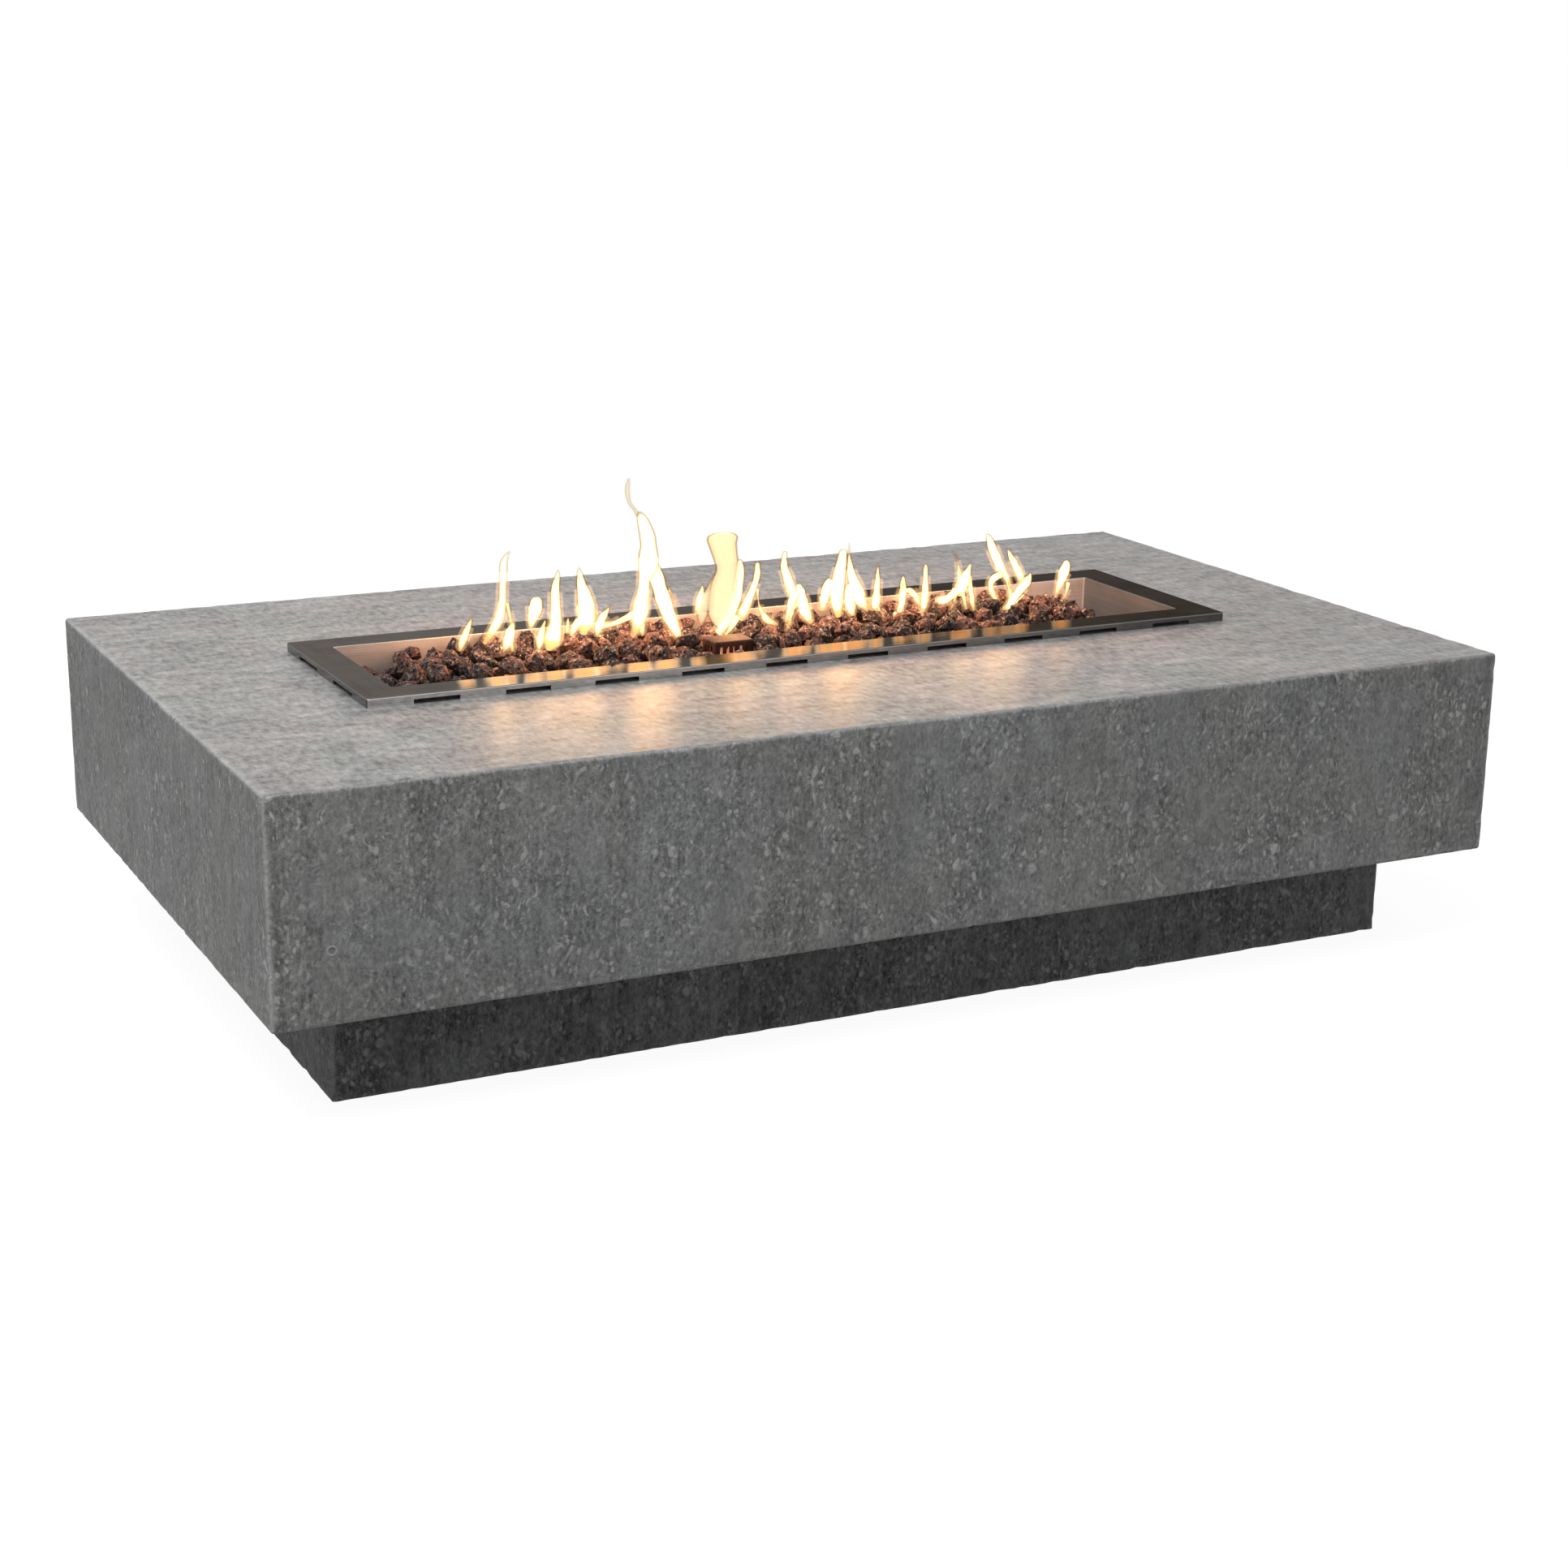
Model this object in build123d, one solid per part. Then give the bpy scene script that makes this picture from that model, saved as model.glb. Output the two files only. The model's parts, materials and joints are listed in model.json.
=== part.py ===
from build123d import *
import itertools
import math
import os
import random

import numpy as np

# Rectangular concrete fire pit with a drop-in stainless gas burner and lava rock.
# Millimetres. The origin is on the floor under the middle of the plinth, +Z is up, X runs along
# the long side, the front looks towards -Y and the controls are let into the +X end.

# Concrete block
TABLE_LENGTH = 1420.0
TABLE_WIDTH = 810.0
BLOCK_HEIGHT = 230.0
BLOCK_WALL = 15.0
BLOCK_TOP = 18.0
BLOCK_FLOOR = 15.0
EDGE_ROUND = 4.0

# Concrete plinth, set back under the block
PLINTH_HEIGHT = 110.0
PLINTH_INSET = 80.0
PLINTH_WALL = 15.0
FLOOR_LEDGE = 45.0
HOSE_NOTCH_WIDTH = 70.0
HOSE_NOTCH_HEIGHT = 45.0
HOSE_NOTCH_ROUND = 12.0

# Angle brackets that join block and plinth
BRACKET_LEG = 40.0
BRACKET_WIDTH = 36.0
BRACKET_SHEET = 4.0
BRACKET_SPREAD = 760.0
BOLT_DIAMETER = 8.0
BOLT_REACH = 24.0
BOLT_BITE = 10.0
BOLT_HEAD_ACROSS = 13.0
BOLT_HEAD_HEIGHT = 5.3

# Burner pan, one folded sheet: tray, flange and a slotted lip that stands on the concrete
PAN_LENGTH = 970.0
PAN_WIDTH = 200.0
PAN_DEPTH = 65.0
PAN_SHEET = 1.5
FLANGE_WIDTH = 40.0
LIP_HEIGHT = 10.0
PAN_CORNER = 3.0
BEND_RADIUS = 1.2
PAN_CLEARANCE = 8.0
VENT_LENGTH = 50.0
VENT_PITCH = 100.0
END_VENT_LENGTH = 65.0
END_VENT_PITCH = 120.0
VENT_HEIGHT = 5.0
DRAIN_DIAMETER = 8.0
DRAIN_INSET = 30.0

# Burner tube on its saddles
TUBE_LENGTH = 860.0
TUBE_DIAMETER = 22.0
TUBE_WALL = 1.5
PORT_DIAMETER = 3.0
PORT_PITCH = 40.0
PORT_ANGLE = 30.0
SADDLE_LIFT = 6.0
SADDLE_LENGTH = 20.0
SADDLE_CHEEK = 6.0
SADDLE_SPREAD = 640.0

# Feed under the pan: nipple, locknut, air mixer and jet
NIPPLE_DIAMETER = 17.2
NIPPLE_BORE = 12.5
NIPPLE_REACH = 6.0
NIPPLE_DROP = 34.0
LOCKNUT_ACROSS = 27.0
LOCKNUT_HEIGHT = 8.0
MIXER_DIAMETER = 26.0
MIXER_LENGTH = 46.0
MIXER_SOCKET = 14.0
MIXER_CHAMFER = 1.5
MIXER_CHAMBER = 16.0
AIR_HOLE_DIAMETER = 8.0
AIR_HOLES = 4
JET_SPUD_DIAMETER = 10.0
JET_SPUD_LENGTH = 8.0
JET_BORE = 1.6
JET_HEX_ACROSS = 19.0
JET_HEX_HEIGHT = 8.0

# Gas tubes with flare joints
GAS_TUBE_DIAMETER = 9.5
GAS_TUBE_BORE = 7.0
GAS_TUBE_BEND = 24.0
GAS_TUBE_DROP = 40.0
GAS_TUBE_LEAD_IN = 48.0
GAS_TUBE_SLOPE = 72.0
FLARE_DIAMETER = 14.0
FLARE_LENGTH = 12.0
FLARE_GRIP = 10.0
FLARE_NUT_ACROSS = 19.0
FLARE_NUT_LENGTH = 16.0

# Control box let into the +X end
CONTROL_WIDTH = 180.0
CONTROL_HEIGHT = 90.0
CONTROL_DEPTH = 45.0
CONTROL_FLANGE = 14.0
CONTROL_SHEET = 1.5
CONTROL_CORNER = 8.0
CONTROL_RISE = 115.0
CONTROL_SET_BACK = 2.5
CONTROL_CLEARANCE = 1.0
SCREW_DIAMETER = 4.0
SCREW_HEAD_DIAMETER = 8.0
SCREW_HEAD_HEIGHT = 1.9
SCREW_BITE = 8.0

# Gas valve behind the box, turned and pushed by the knob
KNOB_OFFSET = 40.0
VALVE_SIZE = 36.0
VALVE_ROUND = 3.0
BONNET_THICKNESS = 8.0
SHOULDER_DIAMETER = 18.0
SHOULDER_LENGTH = 14.0
NECK_DIAMETER = 14.0
NECK_PROUD = 7.0
PANEL_NUT_ACROSS = 19.0
PANEL_NUT_HEIGHT = 4.0
BONNET_SCREW_DIAMETER = 4.0
BONNET_SCREW_HEAD = 7.0
BONNET_SCREW_HEAD_HEIGHT = 3.0
BONNET_SCREW_BITE = 8.0
BONNET_SCREW_SPREAD = 27.0
PLUG_LENGTH = 26.0
PLUG_DIAMETER = 20.0
PLUG_TAPER = 3.0
PLUG_PORT = 6.0
BLEED_PORT = 1.6
SPINDLE_DIAMETER = 8.0
TONGUE_WIDTH = 5.0
TONGUE_LENGTH = 12.0
THERMO_BOSS_DIAMETER = 10.0
THERMO_BOSS_LENGTH = 8.0

# Bezel and knob
BEZEL_DIAMETER = 60.0
BEZEL_THICKNESS = 2.0
KNOB_TRAVEL = 4.0
KNOB_LENGTH = 28.0
SKIRT_DIAMETER = 50.0
SKIRT_THICKNESS = 5.0
KNOB_DIAMETER = 42.0
KNOB_DRAFT = 1.5
KNOB_ROUND = 2.0
KNOB_CAVITY_DIAMETER = 30.0
KNOB_CAVITY_DEPTH = 8.0
KNOB_BORE_DEPTH = 13.0
GRIP_WIDTH = 13.0
GRIP_HEIGHT = 15.0
POINTER_WIDTH = 2.0
POINTER_LENGTH = 13.0
POINTER_DEPTH = 0.8

# Spark igniter beside the valve
IGNITER_OFFSET = -45.0
MODULE_DIAMETER = 26.0
MODULE_LENGTH = 66.0
MODULE_ROUND = 2.0
MODULE_NECK = 21.0
MODULE_NECK_PROUD = 8.0
COLLAR_DIAMETER = 32.0
COLLAR_HEIGHT = 6.0
BUTTON_DIAMETER = 17.0
BUTTON_LENGTH = 20.0
BUTTON_PROUD = 9.0
BUTTON_DOME = 2.5
BUTTON_TRAVEL = 4.0
BATTERY_DIAMETER = 10.5
BATTERY_LENGTH = 44.5
BATTERY_ROUND = 0.6
BATTERY_TIP_DIAMETER = 3.8
BATTERY_TIP_LENGTH = 1.0

# Pilot set and its cage beside the burner tube
CAGE_X = -73.0
CAGE_Y = -39.0
CAGE_LENGTH = 48.0
CAGE_WIDTH = 34.0
CAGE_HEIGHT = 67.0
CAGE_SHEET = 1.0
CAGE_SLOT_WIDTH = 3.5
CAGE_SLOT_HEIGHT = 11.0
CAGE_SLOT_PITCH = 8.0
CAGE_SLOT_ROWS = 3
CAGE_ROW_PITCH = 16.0
CAGE_BAND = 6.0
PILOT_SHEET = 1.5
PILOT_SHELF_RISE = 25.0
PILOT_MARGIN = 3.0
LEAD_SKEW_X = 8.0
LEAD_SKEW_Y = 7.0
INSULATOR_DIAMETER = 8.0
INSULATOR_LENGTH = 34.0
INSULATOR_DROP = 12.0
INSULATOR_COLLAR = 11.0
INSULATOR_COLLAR_HEIGHT = 4.0
ELECTRODE_DIAMETER = 2.4
ELECTRODE_RISE = 12.0
ELECTRODE_REACH = 10.0
ELECTRODE_TAIL = 6.0
ELECTRODE_BEND = 4.0
THERMO_DIAMETER = 6.0
THERMO_LENGTH = 38.0
THERMO_DROP = 12.0
THERMO_COLLAR = 9.0
THERMO_COLLAR_HEIGHT = 3.0

# Leads clipped under the pan
IGNITER_LEAD_DIAMETER = 4.0
THERMO_LEAD_DIAMETER = 3.0
LEAD_DEPTH = 14.0
LEAD_BEND = 10.0
LEAD_LEAD_IN = 28.0
LEAD_SLOPE = 36.0
LEAD_CROSSING = 106.0
LEAD_HOLE_DIAMETER = 6.0
CLIP_LENGTH = 12.0
CLIP_MARGIN = 6.0
CLIP_PITCH = 200.0
CLIP_START = 120.0

# Gas inlet: a bulkhead fitting on a stepped bracket over the ledge
INLET_RUN = 86.0
INLET_DROP = 50.0
INLET_BRACKET_WIDTH = 50.0
INLET_BRACKET_SHEET = 3.0
INLET_BRACKET_FOOT = 32.0
INLET_SHELF_Z = 84.0
INLET_SHELF_MARGIN = 18.0
INLET_HEX_ACROSS = 24.0
INLET_HEX_HEIGHT = 8.0
INLET_BODY_DIAMETER = 18.0
INLET_NUT_ACROSS = 24.0
INLET_NUT_HEIGHT = 6.0
INLET_FLARE_DIAMETER = 15.88
INLET_FLARE_LENGTH = 14.0
INLET_NOSE_LENGTH = 4.0
INLET_NOSE_DIAMETER = 10.0
INLET_NOSE_STEP = 1.0
INLET_BORE = 8.0

# Lava rock
LARGE_ROCK = (50.0, 62.0)
SMALL_ROCK = (25.0, 36.0)
ROCK_FLATNESS = (0.65, 1.0)
ROCK_JITTER = 0.32
ROCK_GAP = 0.4
ROCK_MARGIN = 2.0
LOWER_BED = 54.0
BED_CROWN = 16.0
BED_FALL = 16.0
BED_RAMP = 110.0
BED_BARE_END = 55.0
BED_LEFT_FALL = 30.0
ROCK_TRIES = 5
ROCK_ROLL = 12.0
ROCK_MISSES = 10
ROCK_SEED = 7
TINY = 1e-6

# Fits
FIT = 0.1
RUN_FIT = 0.08
PLUG_FIT = 0.06
HOLE_FIT = 0.3
BATTERY_FIT = 0.35
END_PLAY = 0.3
KNOB_ROOM = 0.8

# Heights and faces that follow from the sizes above
block_top = PLINTH_HEIGHT + BLOCK_HEIGHT
block_floor_top = PLINTH_HEIGHT + BLOCK_FLOOR
end_x = TABLE_LENGTH / 2
side_y = TABLE_WIDTH / 2
plinth_x = end_x - PLINTH_INSET
plinth_y = side_y - PLINTH_INSET
plinth_inner_x = plinth_x - PLINTH_WALL
plinth_inner_y = plinth_y - PLINTH_WALL
ledge_x = plinth_inner_x - FLOOR_LEDGE
ledge_y = plinth_inner_y - FLOOR_LEDGE
# The end brackets stand aside of the inlet and the hose notch.
bracket_end_y = -plinth_inner_y / 2

flange_top = block_top + LIP_HEIGHT
flange_length = PAN_LENGTH + 2 * FLANGE_WIDTH
flange_span = PAN_WIDTH + 2 * FLANGE_WIDTH
pan_floor = flange_top - PAN_DEPTH
pan_under = pan_floor - PAN_SHEET
pan_end = PAN_LENGTH / 2 + PAN_SHEET
tube_z = pan_floor + SADDLE_LIFT + TUBE_DIAMETER / 2

nipple_low = pan_under - NIPPLE_DROP
mixer_top = nipple_low + MIXER_SOCKET
mixer_low = mixer_top - MIXER_LENGTH
jet_hex_low = mixer_low - JET_HEX_HEIGHT
jet_low = jet_hex_low - FLARE_LENGTH

control_z = PLINTH_HEIGHT + CONTROL_RISE
knob_axis = (KNOB_OFFSET, control_z)
igniter_axis = (IGNITER_OFFSET, control_z)
control_face = end_x - CONTROL_SET_BACK
panel_front = control_face - CONTROL_DEPTH
panel_rear = panel_front - CONTROL_SHEET

bonnet_front = panel_rear - SHOULDER_LENGTH
bonnet_rear = bonnet_front - BONNET_THICKNESS
valve_rear = bonnet_rear - VALVE_SIZE
valve_middle = (valve_rear + bonnet_rear) / 2
outlet_x = valve_rear - FLARE_LENGTH
inlet_z = control_z - VALVE_SIZE / 2 - FLARE_LENGTH
thermo_boss_top = control_z + VALVE_SIZE / 2 + THERMO_BOSS_LENGTH
plug_front = bonnet_rear - END_PLAY
plug_rear = bonnet_rear - PLUG_LENGTH + END_PLAY
tongue_end = plug_front - TONGUE_LENGTH

bezel_front = panel_front + BEZEL_THICKNESS
knob_rear = bezel_front + KNOB_TRAVEL + KNOB_ROOM
knob_front = knob_rear + KNOB_LENGTH
spindle_end = knob_rear + KNOB_CAVITY_DEPTH + KNOB_BORE_DEPTH
neck_end = panel_front + NECK_PROUD

module_rear = panel_rear - MODULE_LENGTH
module_neck_end = panel_front + MODULE_NECK_PROUD
button_front = module_neck_end + BUTTON_PROUD
button_rear = button_front - BUTTON_LENGTH
battery_front = button_rear - BUTTON_TRAVEL - END_PLAY
battery_rear = battery_front - BATTERY_LENGTH

shelf_top = pan_floor + PILOT_SHELF_RISE
electrode_x = CAGE_X - LEAD_SKEW_X
electrode_y = CAGE_Y - LEAD_SKEW_Y
thermo_x = CAGE_X + LEAD_SKEW_X
thermo_y = CAGE_Y + LEAD_SKEW_Y
insulator_low = shelf_top - INSULATOR_DROP
insulator_high = insulator_low + INSULATOR_LENGTH
thermo_low = shelf_top - THERMO_DROP
lead_z = pan_under - LEAD_DEPTH

inlet_x = valve_middle - INLET_RUN
shelf_low = INLET_SHELF_Z
inlet_hex_low = shelf_low + INLET_BRACKET_SHEET
inlet_nut_low = shelf_low - INLET_NUT_HEIGHT
inlet_top = inlet_hex_low + INLET_HEX_HEIGHT

drop_start = flange_top + BED_CROWN + 2 * LARGE_ROCK[1]


def span_box(x_low, x_high, y_low, y_high, z_low, z_high):
    """Box between the given limits."""
    middle = Pos((x_low + x_high) / 2, (y_low + y_high) / 2, (z_low + z_high) / 2)
    return middle * Box(x_high - x_low, y_high - y_low, z_high - z_low)


def upright(diameter, z_low, z_high, x=0.0, y=0.0):
    """Round bar along Z."""
    return Pos(x, y, (z_low + z_high) / 2) * Cylinder(diameter / 2, z_high - z_low)


def level(diameter, x_low, x_high, y=0.0, z=0.0):
    """Round bar along X."""
    return Pos((x_low + x_high) / 2, y, z) * Rot(0, 90, 0) * Cylinder(diameter / 2, x_high - x_low)


def hexagon(across, height):
    """Hexagonal prism standing on its own XY plane."""
    return extrude(RegularPolygon(across / 2, 6, major_radius=False), height)


def plate(length, width, z_low, z_high, corner):
    """Level plate with rounded corners, centred on the pit."""
    return extrude(Pos(0, 0, z_low) * RectangleRounded(length, width, corner), z_high - z_low)


def end_plate(width, height, x_low, x_high, corner):
    """Plate facing +X with rounded corners, centred on the controls."""
    face = Plane(origin=(x_low, 0, control_z), x_dir=(0, 1, 0), z_dir=(1, 0, 0))
    return extrude(face * RectangleRounded(width, height, corner), x_high - x_low)


def facing_x(x, y, z):
    """Plane whose Z looks towards +X."""
    return Plane(origin=(x, y, z), x_dir=(0, 1, 0), z_dir=(1, 0, 0))


def swept_rod(points, bends, diameter, bore=0.0):
    """Round rod or tube along straight runs joined by tangent arcs."""
    path = FilletPolyline(*points, radius=bends)
    section = Circle(diameter / 2)
    if bore:
        section -= Circle(bore / 2)
    return sweep(Plane(origin=path @ 0, z_dir=path % 0) * section, path=path)


def centred(count, pitch):
    """Evenly spaced places about zero."""
    return [(index - (count - 1) / 2) * pitch for index in range(count)]


def four_corners(spread_a, spread_b):
    """Signed half spreads of a four-hole pattern."""
    return [(a * spread_a / 2, b * spread_b / 2) for a in (-1, 1) for b in (-1, 1)]


def bracket_places():
    """Plane of each joining bracket: origin on the plinth's inner top edge, X pointing inwards."""
    places = []
    for x in centred(2, BRACKET_SPREAD):
        for side in (-1, 1):
            places.append(Plane(origin=(x, side * plinth_inner_y, PLINTH_HEIGHT), x_dir=(0, -side, 0)))
    for side in (-1, 1):
        places.append(Plane(origin=(side * plinth_inner_x, bracket_end_y, PLINTH_HEIGHT),
                            x_dir=(-side, 0, 0)))
    return places


def bracket_holes(extra):
    """Shanks of the two bolts of one bracket, grown by a clearance, in the bracket's own plane."""
    diameter = BOLT_DIAMETER + 2 * extra
    bite = BOLT_BITE + extra
    up = upright(diameter, -BRACKET_SHEET, bite, BOLT_REACH, 0)
    out = level(diameter, -bite, BRACKET_SHEET, 0, -BOLT_REACH)
    return up, out


def table_body():
    """Hollow concrete block: open underneath, cut out for the pan and for the control box."""
    block = span_box(-end_x, end_x, -side_y, side_y, PLINTH_HEIGHT, block_top)
    block = fillet(block.edges(), EDGE_ROUND)
    block -= span_box(-end_x + BLOCK_WALL, end_x - BLOCK_WALL, -side_y + BLOCK_WALL, side_y - BLOCK_WALL,
                      block_floor_top, block_top - BLOCK_TOP)
    block -= span_box(-ledge_x, ledge_x, -ledge_y, ledge_y, PLINTH_HEIGHT, block_floor_top)
    hole_length = PAN_LENGTH + 2 * PAN_SHEET + 2 * PAN_CLEARANCE
    hole_width = PAN_WIDTH + 2 * PAN_SHEET + 2 * PAN_CLEARANCE
    block -= plate(hole_length, hole_width, block_top - BLOCK_TOP, block_top, PAN_CORNER + PAN_CLEARANCE)
    room = 2 * (CONTROL_SHEET + CONTROL_CLEARANCE)
    block -= end_plate(CONTROL_WIDTH + room, CONTROL_HEIGHT + room, end_x - BLOCK_WALL, end_x,
                       CONTROL_CORNER + CONTROL_CLEARANCE)
    rim = 2 * (CONTROL_FLANGE + CONTROL_CLEARANCE)
    block -= end_plate(CONTROL_WIDTH + rim, CONTROL_HEIGHT + rim, control_face - CONTROL_SHEET, end_x,
                       CONTROL_CORNER + CONTROL_CLEARANCE)
    for y, z in control_screw_places():
        block -= level(SCREW_DIAMETER + 2 * FIT, control_face - CONTROL_SHEET - SCREW_BITE - FIT, end_x, y, z)
    for place in bracket_places():
        block -= place * bracket_holes(FIT)[0]
    return block


def plinth():
    """Concrete ring that carries the block, with a notch for the gas hose at the +X end."""
    ring = span_box(-plinth_x, plinth_x, -plinth_y, plinth_y, 0, PLINTH_HEIGHT)
    ring = fillet(ring.edges().filter_by(Axis.Z), EDGE_ROUND)
    ring -= span_box(-plinth_inner_x, plinth_inner_x, -plinth_inner_y, plinth_inner_y, 0, PLINTH_HEIGHT)
    outline = Pos(0, 0) * Rectangle(HOSE_NOTCH_WIDTH, 2 * HOSE_NOTCH_HEIGHT)
    outline = fillet(outline.vertices(), HOSE_NOTCH_ROUND)
    ring -= extrude(facing_x(plinth_inner_x, 0, 0) * outline, PLINTH_WALL)
    for place in bracket_places():
        ring -= place * bracket_holes(FIT)[1]
    return ring


def joining_brackets():
    """Folded steel angles under the block, against the plinth's inner face."""
    angle = span_box(0, BRACKET_LEG, -BRACKET_WIDTH / 2, BRACKET_WIDTH / 2, -BRACKET_SHEET, 0)
    angle += span_box(0, BRACKET_SHEET, -BRACKET_WIDTH / 2, BRACKET_WIDTH / 2, -BRACKET_LEG, 0)
    inner = angle.edges().filter_by(Axis.Y).filter_by_position(Axis.X, BRACKET_SHEET, BRACKET_SHEET)
    angle = fillet(inner.sort_by(Axis.Z)[-1], BRACKET_SHEET)
    up, out = bracket_holes(HOLE_FIT)
    angle -= up
    angle -= out
    return [place * angle for place in bracket_places()]


def bracket_bolts():
    """Hexagon bolts into the concrete, two to each bracket."""
    up, out = bracket_holes(0)
    head = hexagon(BOLT_HEAD_ACROSS, BOLT_HEAD_HEIGHT)
    up += Pos(BOLT_REACH, 0, -BRACKET_SHEET - BOLT_HEAD_HEIGHT) * head
    out += facing_x(BRACKET_SHEET, 0, -BOLT_REACH) * head
    return [place * bolt for place in bracket_places() for bolt in (up, out)]


def vents():
    """Air slots in the lip: rows along both long sides, a few across the ends."""
    cuts = []
    for x in centred(int(flange_length // VENT_PITCH), VENT_PITCH):
        cuts.append(span_box(x - VENT_LENGTH / 2, x + VENT_LENGTH / 2, -flange_span / 2, flange_span / 2,
                             block_top, block_top + VENT_HEIGHT))
    for y in centred(int(flange_span // END_VENT_PITCH), END_VENT_PITCH):
        cuts.append(span_box(-flange_length / 2, flange_length / 2, y - END_VENT_LENGTH / 2,
                             y + END_VENT_LENGTH / 2, block_top, block_top + VENT_HEIGHT))
    return cuts


def burner_pan():
    """Stainless tray hung in the block by its flange."""
    rim = plate(flange_length, flange_span, block_top, flange_top, PAN_CORNER)
    rim -= plate(flange_length - 2 * PAN_SHEET, flange_span - 2 * PAN_SHEET, block_top,
                 flange_top - PAN_SHEET, PAN_CORNER - PAN_SHEET)
    rim -= vents()
    tray_length = PAN_LENGTH + 2 * PAN_SHEET
    tray_width = PAN_WIDTH + 2 * PAN_SHEET
    pan = rim + plate(tray_length, tray_width, pan_under, flange_top, PAN_CORNER + PAN_SHEET)
    pan -= plate(PAN_LENGTH, PAN_WIDTH, pan_floor, flange_top, PAN_CORNER)
    pan = fillet(pan.edges().filter_by_position(Axis.Z, flange_top, flange_top), BEND_RADIUS)
    holes = [upright(NIPPLE_DIAMETER + 2 * HOLE_FIT, pan_under, pan_floor)]
    for place in ((electrode_x, electrode_y), (thermo_x, thermo_y)):
        holes.append(upright(LEAD_HOLE_DIAMETER, pan_under, pan_floor, *place))
    for place in four_corners(PAN_LENGTH - 2 * DRAIN_INSET, PAN_WIDTH - 2 * DRAIN_INSET):
        holes.append(upright(DRAIN_DIAMETER, pan_under, pan_floor, *place))
    return pan - holes


def burner_tube():
    """Closed steel tube with two staggered rows of gas ports."""
    tube = level(TUBE_DIAMETER, -TUBE_LENGTH / 2, TUBE_LENGTH / 2, 0, tube_z)
    tube -= level(TUBE_DIAMETER - 2 * TUBE_WALL, -TUBE_LENGTH / 2 + TUBE_WALL, TUBE_LENGTH / 2 - TUBE_WALL,
                  0, tube_z)
    tube -= upright(NIPPLE_DIAMETER + 2 * FIT, tube_z - TUBE_DIAMETER / 2, tube_z)
    count = int((TUBE_LENGTH - PORT_PITCH) // PORT_PITCH)
    port = Pos(0, 0, TUBE_DIAMETER / 2) * Cylinder(PORT_DIAMETER / 2, TUBE_DIAMETER / 2)
    ports = []
    for x in centred(count, PORT_PITCH):
        for side in (-1, 1):
            stagger = side * PORT_PITCH / 4
            ports.append(Pos(x + stagger, 0, tube_z) * Rot(side * PORT_ANGLE, 0, 0) * port)
    return tube - ports


def burner_saddles():
    """Cradles that hold the tube off the pan floor."""
    half = TUBE_DIAMETER / 2 + SADDLE_CHEEK
    high = tube_z - TUBE_DIAMETER / 4
    saddles = []
    for x in centred(2, SADDLE_SPREAD):
        x_low, x_high = x - SADDLE_LENGTH / 2, x + SADDLE_LENGTH / 2
        saddle = span_box(x_low, x_high, -half, half, pan_floor, high)
        saddles.append(saddle - level(TUBE_DIAMETER + 2 * FIT, x_low, x_high, 0, tube_z))
    return saddles


def feed_nipple():
    """Pipe from the burner tube down through the pan floor."""
    high = tube_z - TUBE_DIAMETER / 2 + NIPPLE_REACH
    pipe = upright(NIPPLE_DIAMETER, nipple_low, high)
    return pipe - upright(NIPPLE_BORE, nipple_low, high)


def pan_locknut():
    """Nut that draws the nipple against the pan floor."""
    nut = Pos(0, 0, pan_under - LOCKNUT_HEIGHT) * hexagon(LOCKNUT_ACROSS, LOCKNUT_HEIGHT)
    return nut - upright(NIPPLE_DIAMETER + 2 * FIT, pan_under - LOCKNUT_HEIGHT, pan_under)


def air_mixer():
    """Brass mixer with air holes round its chamber."""
    body = upright(MIXER_DIAMETER, mixer_low, mixer_top)
    body = chamfer(body.edges().filter_by(GeomType.CIRCLE), MIXER_CHAMFER)
    chamber_low = mixer_low + JET_SPUD_LENGTH
    body -= upright(NIPPLE_DIAMETER + 2 * FIT, nipple_low, mixer_top)
    body -= upright(MIXER_CHAMBER, chamber_low, nipple_low)
    body -= upright(JET_SPUD_DIAMETER + 2 * FIT, mixer_low, chamber_low)
    hole = level(AIR_HOLE_DIAMETER, 0, MIXER_DIAMETER, 0, (chamber_low + nipple_low) / 2)
    for index in range(AIR_HOLES):
        body -= Rot(0, 0, 360 * index / AIR_HOLES) * hole
    return body


def gas_orifice():
    """Brass jet screwed into the mixer, with a flare for the gas tube."""
    jet = upright(JET_SPUD_DIAMETER, mixer_low, mixer_low + JET_SPUD_LENGTH)
    jet += Pos(0, 0, jet_hex_low) * hexagon(JET_HEX_ACROSS, JET_HEX_HEIGHT)
    jet += upright(FLARE_DIAMETER, jet_low, jet_hex_low)
    jet -= upright(GAS_TUBE_BORE, jet_low, mixer_low)
    return jet - upright(JET_BORE, jet_low, mixer_low + JET_SPUD_LENGTH)


def gas_tube():
    """Bent tube from the valve's outlet down and along to the jet."""
    run_z = jet_low - GAS_TUBE_DROP
    slope_x = outlet_x - GAS_TUBE_LEAD_IN
    points = [
        (0, 0, jet_low),
        (0, 0, run_z),
        (slope_x - GAS_TUBE_SLOPE, 0, run_z),
        (slope_x, *knob_axis),
        (outlet_x, *knob_axis),
    ]
    return swept_rod(points, GAS_TUBE_BEND, GAS_TUBE_DIAMETER, GAS_TUBE_BORE)


def inlet_tube():
    """Bent tube from the bulkhead fitting up to the valve's inlet."""
    run_z = inlet_z - INLET_DROP
    points = [
        (inlet_x, KNOB_OFFSET, inlet_top),
        (inlet_x, KNOB_OFFSET, run_z),
        (valve_middle, KNOB_OFFSET, run_z),
        (valve_middle, KNOB_OFFSET, inlet_z),
    ]
    return swept_rod(points, GAS_TUBE_BEND, GAS_TUBE_DIAMETER, GAS_TUBE_BORE)


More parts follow.
